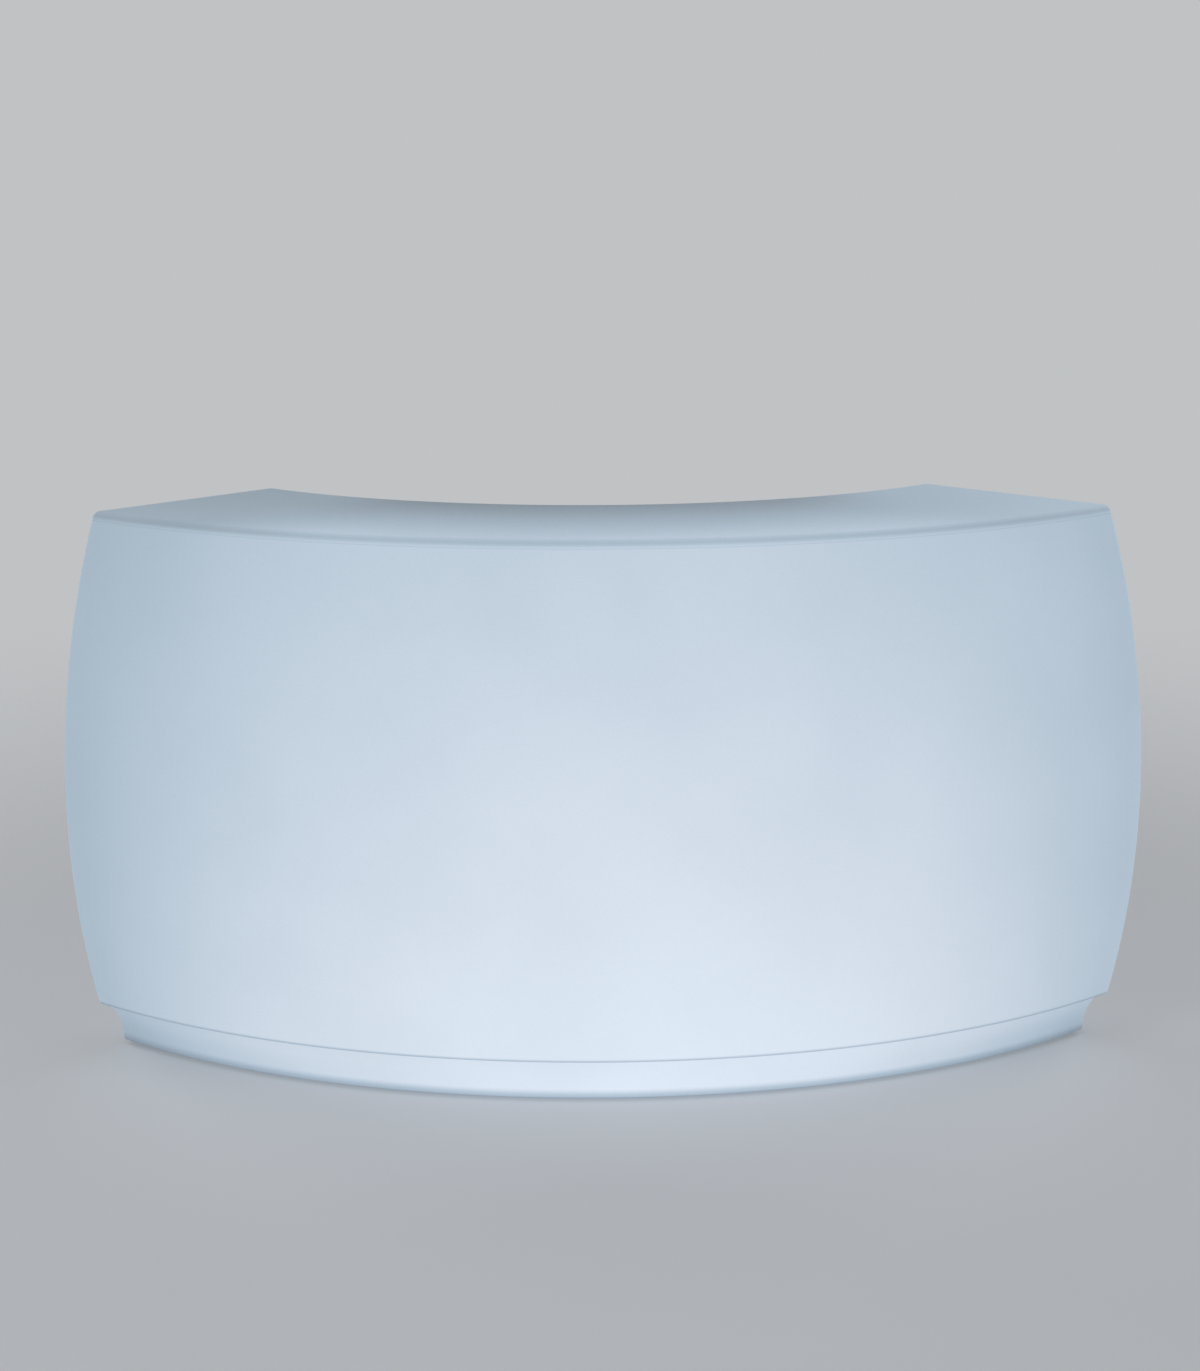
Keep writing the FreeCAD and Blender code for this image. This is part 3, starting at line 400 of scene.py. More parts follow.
def bump(tree, height, distance):
    """Turns a height socket into a normal; distance is how deep the height's whole range is."""
    node = tree.nodes.new("ShaderNodeBump")
    node.inputs["Distance"].default_value = distance
    tree.links.new(height, node.inputs["Height"])
    return node.outputs["Normal"]


print("colour and texture helpers ready")

# %% [markdown]
# ## The lit shell's finish
#
# On the real counter, lamps low in the front cavity shine through a wall of white polyethylene. So
# the front is brightest low in the middle and falls away to the ends and the top. The top is dimmest
# at its rear edge, above the niche, and a little brighter over the two hollow end pillars. Real light
# through a thick wall would need slow scattering, and the exported model would lose it. A formula of
# angle, radius and height gives the same picture as plain emission. It starts with where a point is.
# Each pair of values below is where one area ends and the next begins, in metres or in angle.

# %% Place on the shell
GLOW_SPREAD = math.radians(43.0)
NICHE_MOUTH = (0.965, 0.995)
NICHE_BACK = (1.26, 1.27)
NICHE_SIDE = (0.512, 0.522)
NICHE_BASE = (0.075, 0.095)
TOP_EDGE = (1.082, 1.0995)
PLINTH = (0.015, 0.085)
PILLAR = (math.radians(20.0), math.radians(36.0))

lit_shell, tree, shader = new_material("lit_shell")
x, y, z = object_place(tree)
depth = minus(tree, AXIS_Y, y)
angle = calc(tree, "ARCTAN2", x, depth)
radius = calc(tree, "SQRT", plus(tree, times(tree, x, x), times(tree, depth, depth)))
turn = calc(tree, "DIVIDE", angle, GLOW_SPREAD)
middle = calc(tree, "SUBTRACT", 1.0, times(tree, turn, turn), clamp=True)
past_mouth = ramp(tree, radius, *NICHE_MOUTH, 0.0, 1.0)
in_depth = times(tree, past_mouth, ramp(tree, radius, *NICHE_BACK, 1.0, 0.0))
between_sides = ramp(tree, gap(tree, x, 0.0), *NICHE_SIDE, 1.0, 0.0)
above_floor = ramp(tree, z, *NICHE_BASE, 0.0, 1.0)
in_niche = times(tree, times(tree, in_depth, between_sides), above_floor)
on_top = ramp(tree, z, *TOP_EDGE, 0.0, 1.0)
on_plinth = ramp(tree, z, *PLINTH, 1.0, 0.0)
over_pillar = ramp(tree, gap(tree, angle, 0.0), *PILLAR, 0.0, 1.0)
print("places on the shell from", len(tree.nodes), "nodes")

# %% [markdown]
# The glow itself is a sum: an even part that is a little stronger on the right, and a lamp part that
# is strongest low in the middle. The niche is dimmed, because its walls also light each other. The
# plinth dims towards the floor. The top goes from its rear to its front value, and its ends lean twice
# as much to the right.

# %% Glow through the wall
RIGHT_LEAN = 0.026
END_GLOW = 0.368
END_FALL = 0.055
LAMP_GLOW = 0.30
LAMP_FALL = 0.15
REAR_SHARE = 0.72
NICHE_SHARE = 0.72
PLINTH_DIM_ENDS = 0.24
PLINTH_DIM_MIDDLE = 0.04
TOP_SPAN = (REAR_RADIUS, 1.40)
TOP_MIDDLE = (0.11, 0.395)
TOP_ENDS = (0.235, 0.29)

right_lean = times(tree, turn, RIGHT_LEAN)
end_glow = plus(tree, right_lean, minus(tree, END_GLOW, times(tree, z, END_FALL)))
lamp_share = minus(tree, LAMP_GLOW, times(tree, z, LAMP_FALL))
front_glow = plus(tree, end_glow, times(tree, middle, lamp_share))
wall_glow = times(tree, front_glow, ramp(tree, radius, *TOP_SPAN, REAR_SHARE, 1.0))
wall_glow = times(tree, wall_glow, fade_between(tree, in_niche, 1.0, NICHE_SHARE))
plinth_dim = times(tree, on_plinth, fade_between(tree, middle, PLINTH_DIM_ENDS, PLINTH_DIM_MIDDLE))
wall_glow = times(tree, wall_glow, minus(tree, 1.0, plinth_dim))

top_middle = ramp(tree, radius, *TOP_SPAN, *TOP_MIDDLE, smooth=False)
top_ends = plus(tree, right_lean, ramp(tree, radius, *TOP_SPAN, *TOP_ENDS, smooth=False))
top_glow = plus(tree, right_lean, fade_between(tree, over_pillar, top_middle, top_ends))
glow = fade_between(tree, on_top, wall_glow, top_glow)
print("glow of walls and top joined")

# %% [markdown]
# The glow is painted darker along the top edge, the lip and the foot of the plinth: painted shade, where
# the wall is thicker as the moulding turns and less light comes through. A mould seam runs round a
# little below the top edge, and the glow is painted a little darker along it too. What the light then
# falls on is the plastic itself: a cool white with a fine moulded texture, dull rather than glossy. Its
# colour is well below white because much of the light goes into the wall.

# %% Lines and surface of the shell
PALE_COOL = (0.80, 1.0, 1.20)
NEAR_WHITE = (0.92, 1.0, 1.12)
LIP_HEIGHT = 0.097
EDGE_HEIGHT = 1.0930
SEAM_HEIGHT = 1.0835
LIP_REACH = (1.43, 1.445)
LIP_SHADE = 0.48
FOOT_SHADE = 0.45
EDGE_SHADE = 0.26
SEAM_SHADE = 0.12
TINT_SPAN = (0.28, 0.58)
SHELL_DARK = (0.25, 0.305, 0.35)
SHELL_PALE = (0.275, 0.33, 0.375)
SHELL_GRAIN = 420.0
SHELL_GRAIN_DEPTH = 0.00022
SHELL_SPECULAR = 0.12

on_lip = ramp(tree, radius, *LIP_REACH, 0.0, 1.0)
# painted shade in the glow: darker lines along the lip, the foot of the plinth, the top edge and the
# mould seam
lip_shade = times(tree, on_lip, ramp(tree, gap(tree, z, LIP_HEIGHT), 0.0, 0.008, LIP_SHADE, 0.0))
foot_shade = ramp(tree, z, 0.009, 0.027, FOOT_SHADE, 0.0)
edge_shade = ramp(tree, gap(tree, z, EDGE_HEIGHT), 0.0, 0.009, EDGE_SHADE, 0.0)
seam_shade = ramp(tree, gap(tree, z, SEAM_HEIGHT), 0.0006, 0.0016, SEAM_SHADE, 0.0)
for shade in (lip_shade, foot_shade, edge_shade, seam_shade):
    glow = times(tree, glow, minus(tree, 1.0, shade))
glow = times(tree, glow, uneven(tree, noise(tree, 3.0), 0.975, 1.025))
tint = blend_colours(tree, ramp(tree, glow, *TINT_SPAN, 0.0, 1.0), PALE_COOL, NEAR_WHITE)
tree.links.new(scaled_colour(tree, tint, glow), shader.inputs["Emission Color"])
shader.inputs["Emission Strength"].default_value = 1.0

grain = noise(tree, SHELL_GRAIN, detail=2.0)
base = blend_colours(tree, uneven(tree, grain, 0.0, 1.0), SHELL_DARK, SHELL_PALE)
tree.links.new(base, shader.inputs["Base Color"])
tree.links.new(uneven(tree, noise(tree, 90.0), 0.50, 0.60), shader.inputs["Roughness"])
tree.links.new(bump(tree, grain, SHELL_GRAIN_DEPTH), shader.inputs["Normal"])
shader.inputs["Specular IOR Level"].default_value = SHELL_SPECULAR
print("lit shell finish with", len(tree.nodes), "nodes")

# %% [markdown]
# ## The shell
#
# The CAD mesh of the moulding already has the right form: bowed front, rounded lip, coved plinth and
# the bartender's niche. Its triangles come in loose, though, so each would shade by itself. A merged
# copy with smooth faces, sharp edges only where the angle is real, and normals weighted by face area
# shades as one continuous moulding. The copy stands for the CAD node.

# %% Shell piece
SAME_POINT = 2e-6
SHELL_SHARP_ANGLE = 28.0


def merged_copy(node, name):
    """A new object with a CAD node's mesh, its loose triangles joined."""
    mesh = nodes[node].data.copy()
    mesh.name = name
    mesh.materials.clear()
    joined = bmesh.new()
    joined.from_mesh(mesh)
    bmesh.ops.remove_doubles(joined, verts=joined.verts, dist=SAME_POINT)
    joined.to_mesh(mesh)
    joined.free()
    if "custom_normal" in mesh.attributes:
        mesh.attributes.remove(mesh.attributes["custom_normal"])
    piece = bpy.data.objects.new(name, mesh)
    scene.collection.objects.link(piece)
    return piece


def applied(piece):
    """Turns a piece's modifiers into plain mesh."""
    depsgraph = bpy.context.evaluated_depsgraph_get()
    made = bpy.data.meshes.new_from_object(piece.evaluated_get(depsgraph), depsgraph=depsgraph)
    old = piece.data
    piece.modifiers.clear()
    piece.data = made
    made.name = piece.name
    bpy.data.meshes.remove(old)
    return piece


def shade_by_angle(mesh, degrees):
    """Smooth faces, with edges kept sharp above an angle."""
    mesh.shade_smooth()
    mesh.set_sharp_from_angle(angle=math.radians(degrees))


def stand_for(piece, node):
    """The piece takes a CAD node's place on its body, and the node is hidden."""
    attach(piece, nodes[node]["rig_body"])
    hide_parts(node)
    return piece


shell = merged_copy("body_shell", "counter_shell")
shade_by_angle(shell.data, SHELL_SHARP_ANGLE)
even = shell.modifiers.new("even_normals", "WEIGHTED_NORMAL")
even.keep_sharp = True
applied(shell)
shell.data.materials.append(lit_shell)
stand_for(shell, "body_shell")
print("shell with", len(shell.data.polygons), "faces")

# %% [markdown]
# ## The mould seam
#
# The hollow body is moulded in a split mould, and a fine raised line shows where the mould's parts
# met. It could be painted, but a real bead also catches the light. A level plane cuts the shell, the
# outermost cut line is kept, and Geometry Nodes sweep a thin round profile along it.

# %% Sweeping tree
BEAD_SIDES = 8


def named_inputs(tree):
    """The identifier of each of a tree's inputs, by name."""
    return {item.name: item.identifier for item in tree.interface.items_tree if item.in_out == "INPUT"}


def node_group(name, sockets):
    """A new Geometry Nodes tree with named inputs, and one geometry output."""
    tree = bpy.data.node_groups.new(name, "GeometryNodeTree")
    for socket, kind in sockets:
        tree.interface.new_socket(socket, in_out="INPUT", socket_type="NodeSocket" + kind)
    tree.interface.new_socket("Made", in_out="OUTPUT", socket_type="NodeSocketGeometry")
    return tree, tree.nodes.new("NodeGroupInput"), tree.nodes.new("NodeGroupOutput")


def end_tree(tree, entry, leave, geometry):
    """Makes copies real, sets the finish and leaves the tree."""
    real = tree.nodes.new("GeometryNodeRealizeInstances")
    paint = tree.nodes.new("GeometryNodeSetMaterial")
    tree.links.new(geometry, real.inputs["Geometry"])
    tree.links.new(real.outputs["Geometry"], paint.inputs["Geometry"])
    tree.links.new(entry.outputs["Finish"], paint.inputs["Material"])
    tree.links.new(paint.outputs["Geometry"], leave.inputs["Made"])


def sweeping_tree():
    """A node tree that sweeps a round bead along a line of edges."""
    sockets = [("Line", "Geometry"), ("Step", "Float"), ("Bead", "Float"), ("Finish", "Material")]
    tree, entry, leave = node_group("sweep_bead", sockets)
    curve = tree.nodes.new("GeometryNodeMeshToCurve")
    spaced = tree.nodes.new("GeometryNodeResampleCurve")
    spaced.mode = "LENGTH"
    profile = tree.nodes.new("GeometryNodeCurvePrimitiveCircle")
    profile.inputs["Resolution"].default_value = BEAD_SIDES
    swept = tree.nodes.new("GeometryNodeCurveToMesh")
    link = tree.links.new
    link(entry.outputs["Line"], curve.inputs["Mesh"])
    link(curve.outputs["Curve"], spaced.inputs["Curve"])
    link(entry.outputs["Step"], spaced.inputs["Length"])
    link(entry.outputs["Bead"], profile.inputs["Radius"])
    link(spaced.outputs["Curve"], swept.inputs["Curve"])
    link(profile.outputs["Curve"], swept.inputs["Profile Curve"])
    end_tree(tree, entry, leave, swept.outputs["Mesh"])
    return tree


def made_by(name, mesh, tree, values):
    """A piece that a node tree makes from a mesh, as plain mesh."""
    piece = bpy.data.objects.new(name, mesh)
    scene.collection.objects.link(piece)
    modifier = piece.modifiers.new("nodes", "NODES")
    modifier.node_group = tree
    identifiers = named_inputs(tree)
    for socket, value in values.items():
        modifier[identifiers[socket]] = value
    return applied(piece)


SWEEP = sweeping_tree()
print("sweeping tree with", len(SWEEP.nodes), "nodes")

# %% [markdown]
# The cut also meets the inside of the hollow wall, so only the edges that hang together with the
# foremost point are kept. At the two rear corners the bead sinks in by its own radius, because
# nothing may stand past the counter's overall depth.

# %% Mould seam
SEAM_BEAD = 0.0005
SEAM_STEP = 0.006


def outer_line(piece, height, inset):
    """The outermost line in which a level plane cuts a piece, as a mesh of edges."""
    cut = bmesh.new()
    cut.from_mesh(piece.data)
    everything = cut.verts[:] + cut.edges[:] + cut.faces[:]
    level = bmesh.ops.bisect_plane(cut, geom=everything, plane_co=(0, 0, height), plane_no=(0, 0, 1))
    edges = [item for item in level["geom_cut"] if isinstance(item, bmesh.types.BMEdge)]
    ahead = {}
    for edge in edges:
        first, second = edge.verts
        ahead.setdefault(first, []).append(second)
        ahead.setdefault(second, []).append(first)
    found = [min(ahead, key=lambda vert: vert.co.y)]
    number = {found[0]: 0}
    for vert in found:
        for other in ahead[vert]:
            if other not in number:
                number[other] = len(found)
                found.append(other)
    deepest = cad_box[1][1] - inset
    points = [(vert.co.x, min(vert.co.y, deepest), vert.co.z) for vert in found]
    pairs = [(number[edge.verts[0]], number[edge.verts[1]]) for edge in edges if edge.verts[0] in number]
    cut.free()
    line = bpy.data.meshes.new("seam_line")
    line.from_pydata(points, pairs, [])
    return line


seam_values = {"Step": SEAM_STEP, "Bead": SEAM_BEAD, "Finish": lit_shell}
seam = made_by("mould_seam", outer_line(shell, SEAM_HEIGHT, SEAM_BEAD), SWEEP, seam_values)
seam.data.shade_smooth()
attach(seam, nodes["body_shell"]["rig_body"])
print("mould seam with", len(seam.data.polygons), "faces")

# %% [markdown]
# ## Finishes of the other pieces
#
# The rest of the counter is ordinary workshop material: brushed stainless steel, anodised and cast
# aluminium, brass, rubber, textured black plastic, white plastic and a compact laminate with a dark
# core. Each gets its own grain or texture at real scale, in a small function that returns a material.

# %% Metal finishes
GRAIN_DARK = 0.86
GRAIN_ROUGHNESS = 0.10


def metal(name, colour, rough, grain_scale, stretch, depth):
    """A metal with grain in one direction, or even grain where stretch is the same all round."""
    material, tree, shader = new_material(name)
    grain = noise(tree, grain_scale, detail=4.0, stretch=stretch)
    dark = tuple(GRAIN_DARK * channel for channel in colour)
    shine = blend_colours(tree, uneven(tree, grain, 0.0, 1.0), dark, colour)
    tree.links.new(shine, shader.inputs["Base Color"])
    gloss = uneven(tree, grain, rough - GRAIN_ROUGHNESS, rough + GRAIN_ROUGHNESS)
    tree.links.new(gloss, shader.inputs["Roughness"])
    tree.links.new(bump(tree, grain, depth), shader.inputs["Normal"])
    shader.inputs["Metallic"].default_value = 1.0
    return material


stainless_steel = metal("stainless_steel", (0.60, 0.60, 0.59), 0.32, 60.0, (1.0, 1.0, 22.0), 0.00003)
panel_aluminium = metal("panel_aluminium", (0.70, 0.71, 0.72), 0.36, 80.0, (1.0, 6.0, 16.0), 0.00003)
cast_aluminium = metal("cast_aluminium", (0.50, 0.51, 0.52), 0.52, 700.0, (1.0, 1.0, 1.0), 0.00008)
brass = metal("brass", (0.70, 0.52, 0.22), 0.30, 300.0, (1.0, 1.0, 4.0), 0.00002)
print("metal finishes made")

# %% [markdown]
# Plastics and rubber differ mostly in how rough they are and how deep their texture is, so one
# function makes them all. The lamps' covers and chips also give light.

# %% Plastic and rubber finishes
WORN_SHARE = 0.88
PATCH_SCALE = 25.0
TEXTURE_ROUGHNESS = 0.06


def plastic(name, colour, rough, texture_scale, depth, glow=None):
    """A moulded plastic or rubber with a fine texture, a little uneven in colour and gloss."""
    material, tree, shader = new_material(name)
    texture = noise(tree, texture_scale)
    patch = uneven(tree, noise(tree, PATCH_SCALE), 0.0, 1.0)
    worn = tuple(WORN_SHARE * channel for channel in colour)
    tree.links.new(blend_colours(tree, patch, worn, colour), shader.inputs["Base Color"])
    gloss = uneven(tree, texture, rough - TEXTURE_ROUGHNESS, rough + TEXTURE_ROUGHNESS)
    tree.links.new(gloss, shader.inputs["Roughness"])
    tree.links.new(bump(tree, texture, depth), shader.inputs["Normal"])
    if glow:
        shader.inputs["Emission Color"].default_value = (*glow, 1.0)
        shader.inputs["Emission Strength"].default_value = 1.0
    return material


white_plastic = plastic("white_plastic", (0.62, 0.64, 0.66), 0.45, 800.0, 0.00006)
opal_cover = plastic("opal_cover", (0.70, 0.72, 0.74), 0.35, 600.0, 0.00003, glow=(0.62, 0.68, 0.75))
led_chip = plastic("led_chip", (0.75, 0.70, 0.40), 0.25, 900.0, 0.00002, glow=(1.0, 0.98, 0.90))
black_rubber = plastic("black_rubber", (0.028, 0.028, 0.029), 0.78, 700.0, 0.00010)
black_plastic = plastic("black_plastic", (0.030, 0.031, 0.033), 0.50, 1500.0, 0.00012)
cable_jacket = plastic("cable_jacket", (0.034, 0.034, 0.036), 0.55, 900.0, 0.00005)
print("plastic and rubber finishes made")

# %% [markdown]
# The shelves are compact laminate: white faces on a dark core, which shows as a dark band along every
# cut edge. So the colour follows the height inside the board. The service hatch is white plastic that
# is lit from behind, and dimmer along its border, where it lies double on the moulding.

# %% Laminate and hatch finishes
WHITE_FACE = 0.0012
FACE_BLUR = 0.0003
FACE_WHITES = ((0.76, 0.77, 0.78), (0.82, 0.83, 0.84))
CORE_BROWNS = ((0.030, 0.026, 0.023), (0.060, 0.052, 0.046))
HATCH_BORDER = (0.016, 0.034)
HATCH_GLOW = (0.22, 0.34)
HATCH_TINT_SPAN = (0.30, 0.70)
HATCH_WHITES = ((0.33, 0.36, 0.39), (0.38, 0.41, 0.44))


def core_laminate(name, low, high):
    """White faces on a dark core, between two heights."""
    material, tree, shader = new_material(name)
    z = object_place(tree)[2]
    from_face = calc(tree, "MINIMUM", minus(tree, z, low), minus(tree, high, z))
    core = ramp(tree, from_face, WHITE_FACE, WHITE_FACE + FACE_BLUR, 0.0, 1.0)
    speckle = ramp(tree, noise(tree, 260.0), 0.35, 0.65, 0.0, 1.0)
    white = blend_colours(tree, speckle, *FACE_WHITES)
    fibres = uneven(tree, noise(tree, 120.0, stretch=(1.0, 1.0, 9.0)), 0.0, 1.0)
    dark = blend_colours(tree, fibres, *CORE_BROWNS)
    tree.links.new(blend_colours(tree, core, white, dark), shader.inputs["Base Color"])
    tree.links.new(uneven(tree, noise(tree, 500.0), 0.36, 0.46), shader.inputs["Roughness"])
    tree.links.new(bump(tree, noise(tree, 900.0), 0.00006), shader.inputs["Normal"])
    return material


def lit_cover(name, low, high):
    """White plastic lit from behind, in a box from its low to its high corner."""
    material, tree, shader = new_material(name)
    x, _, z = object_place(tree)
    from_side = minus(tree, high.x, gap(tree, x, 0.0))
    from_end = calc(tree, "MINIMUM", minus(tree, z, low.z), minus(tree, high.z, z))
    from_border = calc(tree, "MINIMUM", from_side, from_end)
    through = ramp(tree, from_border, *HATCH_BORDER, *HATCH_GLOW)
    through = times(tree, through, ramp(tree, z, low.z, high.z, 1.0, 0.85))
    through = times(tree, through, uneven(tree, noise(tree, 9.0), 0.97, 1.03))
    tint = blend_colours(tree, ramp(tree, through, *HATCH_TINT_SPAN, 0.0, 1.0), PALE_COOL, NEAR_WHITE)
    tree.links.new(scaled_colour(tree, tint, through), shader.inputs["Emission Color"])
    shader.inputs["Emission Strength"].default_value = 1.0
    texture = noise(tree, 700.0, detail=2.0)
    cover_white = blend_colours(tree, texture, *HATCH_WHITES)
    tree.links.new(cover_white, shader.inputs["Base Color"])
    tree.links.new(uneven(tree, texture, 0.40, 0.52), shader.inputs["Roughness"])
    tree.links.new(bump(tree, texture, 0.00012), shader.inputs["Normal"])
    return material


own_finish = {"hatch_cover": lit_cover("hatch_plastic", *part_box("hatch_cover"))}
for shelf in ("shelf_lower", "shelf_upper"):
    low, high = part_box(shelf)
    own_finish[shelf] = core_laminate(shelf + "_laminate", low.z, high.z)
print("own finishes for", ", ".join(own_finish))

# %% [markdown]
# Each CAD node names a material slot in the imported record. The finishes go onto the nodes by that
# name, apart from the few pieces with a finish of their own.

# %% Finishes onto the CAD nodes
finish_of_slot = {
    "lit_shell": lit_shell,
    "white_plastic": white_plastic,
    "opal_cover": opal_cover,
    "led_chip": led_chip,
    "black_rubber": black_rubber,
    "black_plastic": black_plastic,
    "cable_jacket": cable_jacket,
    "stainless_steel": stainless_steel,
    "panel_aluminium": panel_aluminium,
    "cast_aluminium": cast_aluminium,
    "brass": brass,
}
for name, node in nodes.items():
    node.material_slots[0].material = own_finish.get(name) or finish_of_slot[slot_of[name]]
print("finishes on", len(nodes), "nodes")

# %% [markdown]
# ## Pieces with softened edges
#
# No real plate or moulding has a perfectly sharp edge: a narrow bevel catches the light and tells the
# eye how big a thing is. These pieces are merged copies of their CAD nodes, with flat areas dissolved
# into single faces so that the Bevel modifier finds clean edges. The bevel widths are in metres.

# %% Bevelled pieces
SAME_PLANE = math.radians(0.5)
REAL_EDGE = 35.0
BEVEL_STEPS = 2
EDGE_WIDTHS = {
    "shelf_lower": 0.0010,
    "shelf_upper": 0.0010,
    "shelf_rail_lower_left": 0.0004,
    "shelf_rail_lower_right": 0.0004,
    "shelf_rail_upper_left": 0.0004,
    "shelf_rail_upper_right": 0.0004,
    "hatch_cover": 0.0012,
    "power_panel": 0.0004,
    "inlet_housing": 0.0005,
    "inlet_cap": 0.0007,
    "inlet_nut": 0.0005,
    "switch_housing": 0.0006,
    "switch_rocker": 0.0006,
    "driver_case": 0.0010,
}


def bevelled_piece(node, width):
    """A CAD node's form with a narrow round along its real edges."""
    piece = merged_copy(node, node + "_piece")
    flat = bmesh.new()
    flat.from_mesh(piece.data)
    bmesh.ops.dissolve_limit(flat, angle_limit=SAME_PLANE, verts=flat.verts, edges=flat.edges)
    flat.to_mesh(piece.data)
    flat.free()
    shade_by_angle(piece.data, REAL_EDGE)
    bevel = piece.modifiers.new("edge", "BEVEL")
    bevel.width = width
    bevel.segments = BEVEL_STEPS
    bevel.limit_method = "ANGLE"
    bevel.angle_limit = math.radians(REAL_EDGE)
    bevel.harden_normals = True
    applied(piece)
    piece.data.materials.append(nodes[node].material_slots[0].material)
    return stand_for(piece, node)


for node, width in EDGE_WIDTHS.items():
    piece = bevelled_piece(node, width)
    print(piece.name, "with", len(piece.data.polygons), "faces")

# %% [markdown]
# ## Stamping repeated parts with Geometry Nodes
#
# Screws and lamp chips repeat many times. One tree serves them all: it takes marks, which are bare
# points that carry a turn, puts a copy of one model on each, makes the copies real geometry and
# gives them a material. Only the marks and the model change from use to use.

# %% Stamping tree


def stamping_tree():
    """A node tree that puts a model on every mark, turned as the mark says."""
    sockets = [("Marks", "Geometry"), ("Model", "Object"), ("Size", "Float"), ("Finish", "Material")]
    tree, entry, leave = node_group("stamp_on_marks", sockets)
    model = tree.nodes.new("GeometryNodeObjectInfo")
    turn = tree.nodes.new("GeometryNodeInputNamedAttribute")
    turn.data_type = "FLOAT_VECTOR"
    turn.inputs["Name"].default_value = "turn"
    rotation = tree.nodes.new("FunctionNodeEulerToRotation")
    stamp = tree.nodes.new("GeometryNodeInstanceOnPoints")
    link = tree.links.new
    link(entry.outputs["Model"], model.inputs["Object"])
    link(turn.outputs["Attribute"], rotation.inputs["Euler"])
    link(entry.outputs["Marks"], stamp.inputs["Points"])
    link(model.outputs["Geometry"], stamp.inputs["Instance"])
    link(rotation.outputs["Rotation"], stamp.inputs["Rotation"])
    link(entry.outputs["Size"], stamp.inputs["Scale"])
    end_tree(tree, entry, leave, stamp.outputs["Instances"])
    return tree


STAMP = stamping_tree()


def stamped(node, model, marks, finish):
    """Copies of a model, one on each (place, turn) mark, that stand for a CAD node."""
    name = node + "_piece"
    mesh = bpy.data.meshes.new(name)
    mesh.from_pydata([place for place, turn in marks], [], [])
    turns = mesh.attributes.new("turn", "FLOAT_VECTOR", "POINT")
    for entry, (place, turn) in zip(turns.data, marks):
        entry.vector = turn
    piece = made_by(name, mesh, STAMP, {"Model": model, "Size": 1.0, "Finish": finish})
    print(name, "has", len(marks), "copies and", len(piece.data.polygons), "faces")
    return stand_for(piece, node)


print("stamping tree with", len(STAMP.nodes), "nodes")

# %% [markdown]
# ## Screws
#
# The visible screws are pan heads with a hexagon socket. A model is lathed ring by ring, and a ring
# can also be pulled onto a square or a hexagon, so the same function makes the socket and, later,
# the lamp chips. A screw's head rests on the plane z = 0 and its shank points along -Z, so a mark's
# turn takes +Z to where the head faces.

# %% Screw models
SCREW_SIDES = 24
LATHE_SHARP_ANGLE = 40.0
ROUND = 0
SQUARE = 4
HEXAGON = 6


def ring_reach(turn, reach, corners):
    """Distance from the middle to a ring in one direction; a ring with corners has that half width."""
    if corners == ROUND:
        return reach
    part = 2.0 * math.pi / corners
    return reach / math.cos(turn % part - part / 2.0)


def lathed(name, rings, sides):
    """A closed model from (reach, height, corners) rings, listed so that their faces point outwards."""
    model = bmesh.new()
    loops = []
    for reach, height, corners in rings:
        loop = []
        for side in range(sides):
            turn = 2.0 * math.pi * side / sides
            out = ring_reach(turn, reach, corners)
            loop.append(model.verts.new((out * math.cos(turn), out * math.sin(turn), height)))
        loops.append(loop)
    for lower, upper in zip(loops, loops[1:]):
        for side in range(sides):
            after = (side + 1) % sides
            model.faces.new((lower[side], lower[after], upper[after], upper[side]))
    model.faces.new(list(reversed(loops[0])))
    model.faces.new(loops[-1])
    mesh = bpy.data.meshes.new(name)
    model.to_mesh(mesh)
    model.free()
    shade_by_angle(mesh, LATHE_SHARP_ANGLE)
    return bpy.data.objects.new(name, mesh)


def screw_model(name, shank, length, head, rise, socket, washer=0.0):
    """A pan-head screw. The sizes are radii, lengths along its axis and the socket's half width."""
    rings = [(shank * 0.7, -length, ROUND), (shank, -length + shank * 0.4, ROUND)]
    if washer:
        rings += [(shank, -washer, ROUND), (head, -washer, ROUND)]
        rings += [(head, -washer * 0.2, ROUND), (head * 0.94, 0.0, ROUND)]
    else:
        rings.append((shank, 0.0, ROUND))
    rings += [
        (head, washer * 0.1, ROUND),
        (head, rise * 0.35, ROUND),
        (head * 0.96, rise * 0.62, ROUND),
        (head * 0.86, rise * 0.84, ROUND),
        (head * 0.70, rise * 0.96, ROUND),
        (socket * 1.35, rise, ROUND),
        (socket * 1.04, rise, HEXAGON),
        (socket, rise * 0.92, HEXAGON),
        (socket, rise * 0.40, HEXAGON),
    ]
    return lathed(name, rings, SCREW_SIDES)


rail_screw = screw_model("rail_screw_model", 0.0025, 0.0138, 0.0048, 0.0028, 0.0016)
hatch_screw = screw_model("hatch_screw_model", 0.0025, 0.0138, 0.0048, 0.0028, 0.0016, washer=0.0012)
panel_screw = screw_model("panel_screw_model", 0.00175, 0.0098, 0.0032, 0.0016, 0.0010)
for model in (rail_screw, hatch_screw, panel_screw):
    print(model.name, "with", len(model.data.polygons), "faces")

# %% [markdown]
# Marks for the screws follow the same sizes as the CAD: eight round the hatch on the niche's curved
# wall, eight in the legs of the shelf rails, and four at the corners of the power panel. Each set is
# one piece and stands for its CAD node.

# %% Screws in place
HATCH_SEAT = 1.242
HATCH_ROWS = (0.157, 0.413)
HATCH_COLUMNS = (-0.202, 0.0, 0.202)
HATCH_SIDE = 0.228
HATCH_MIDDLE = 0.285
RAIL_THICKNESS = 0.002
RAIL_MIDDLE_Y = 0.12641
RAIL_HALF_SPACING = 0.075
RAIL_SCREW_HEIGHTS = (0.454, 0.742)
PANEL_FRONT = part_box("power_panel")[1].y
PANEL_MIDDLE = 0.057
PANEL_SPAN = 0.060
PANEL_RISE = 0.023


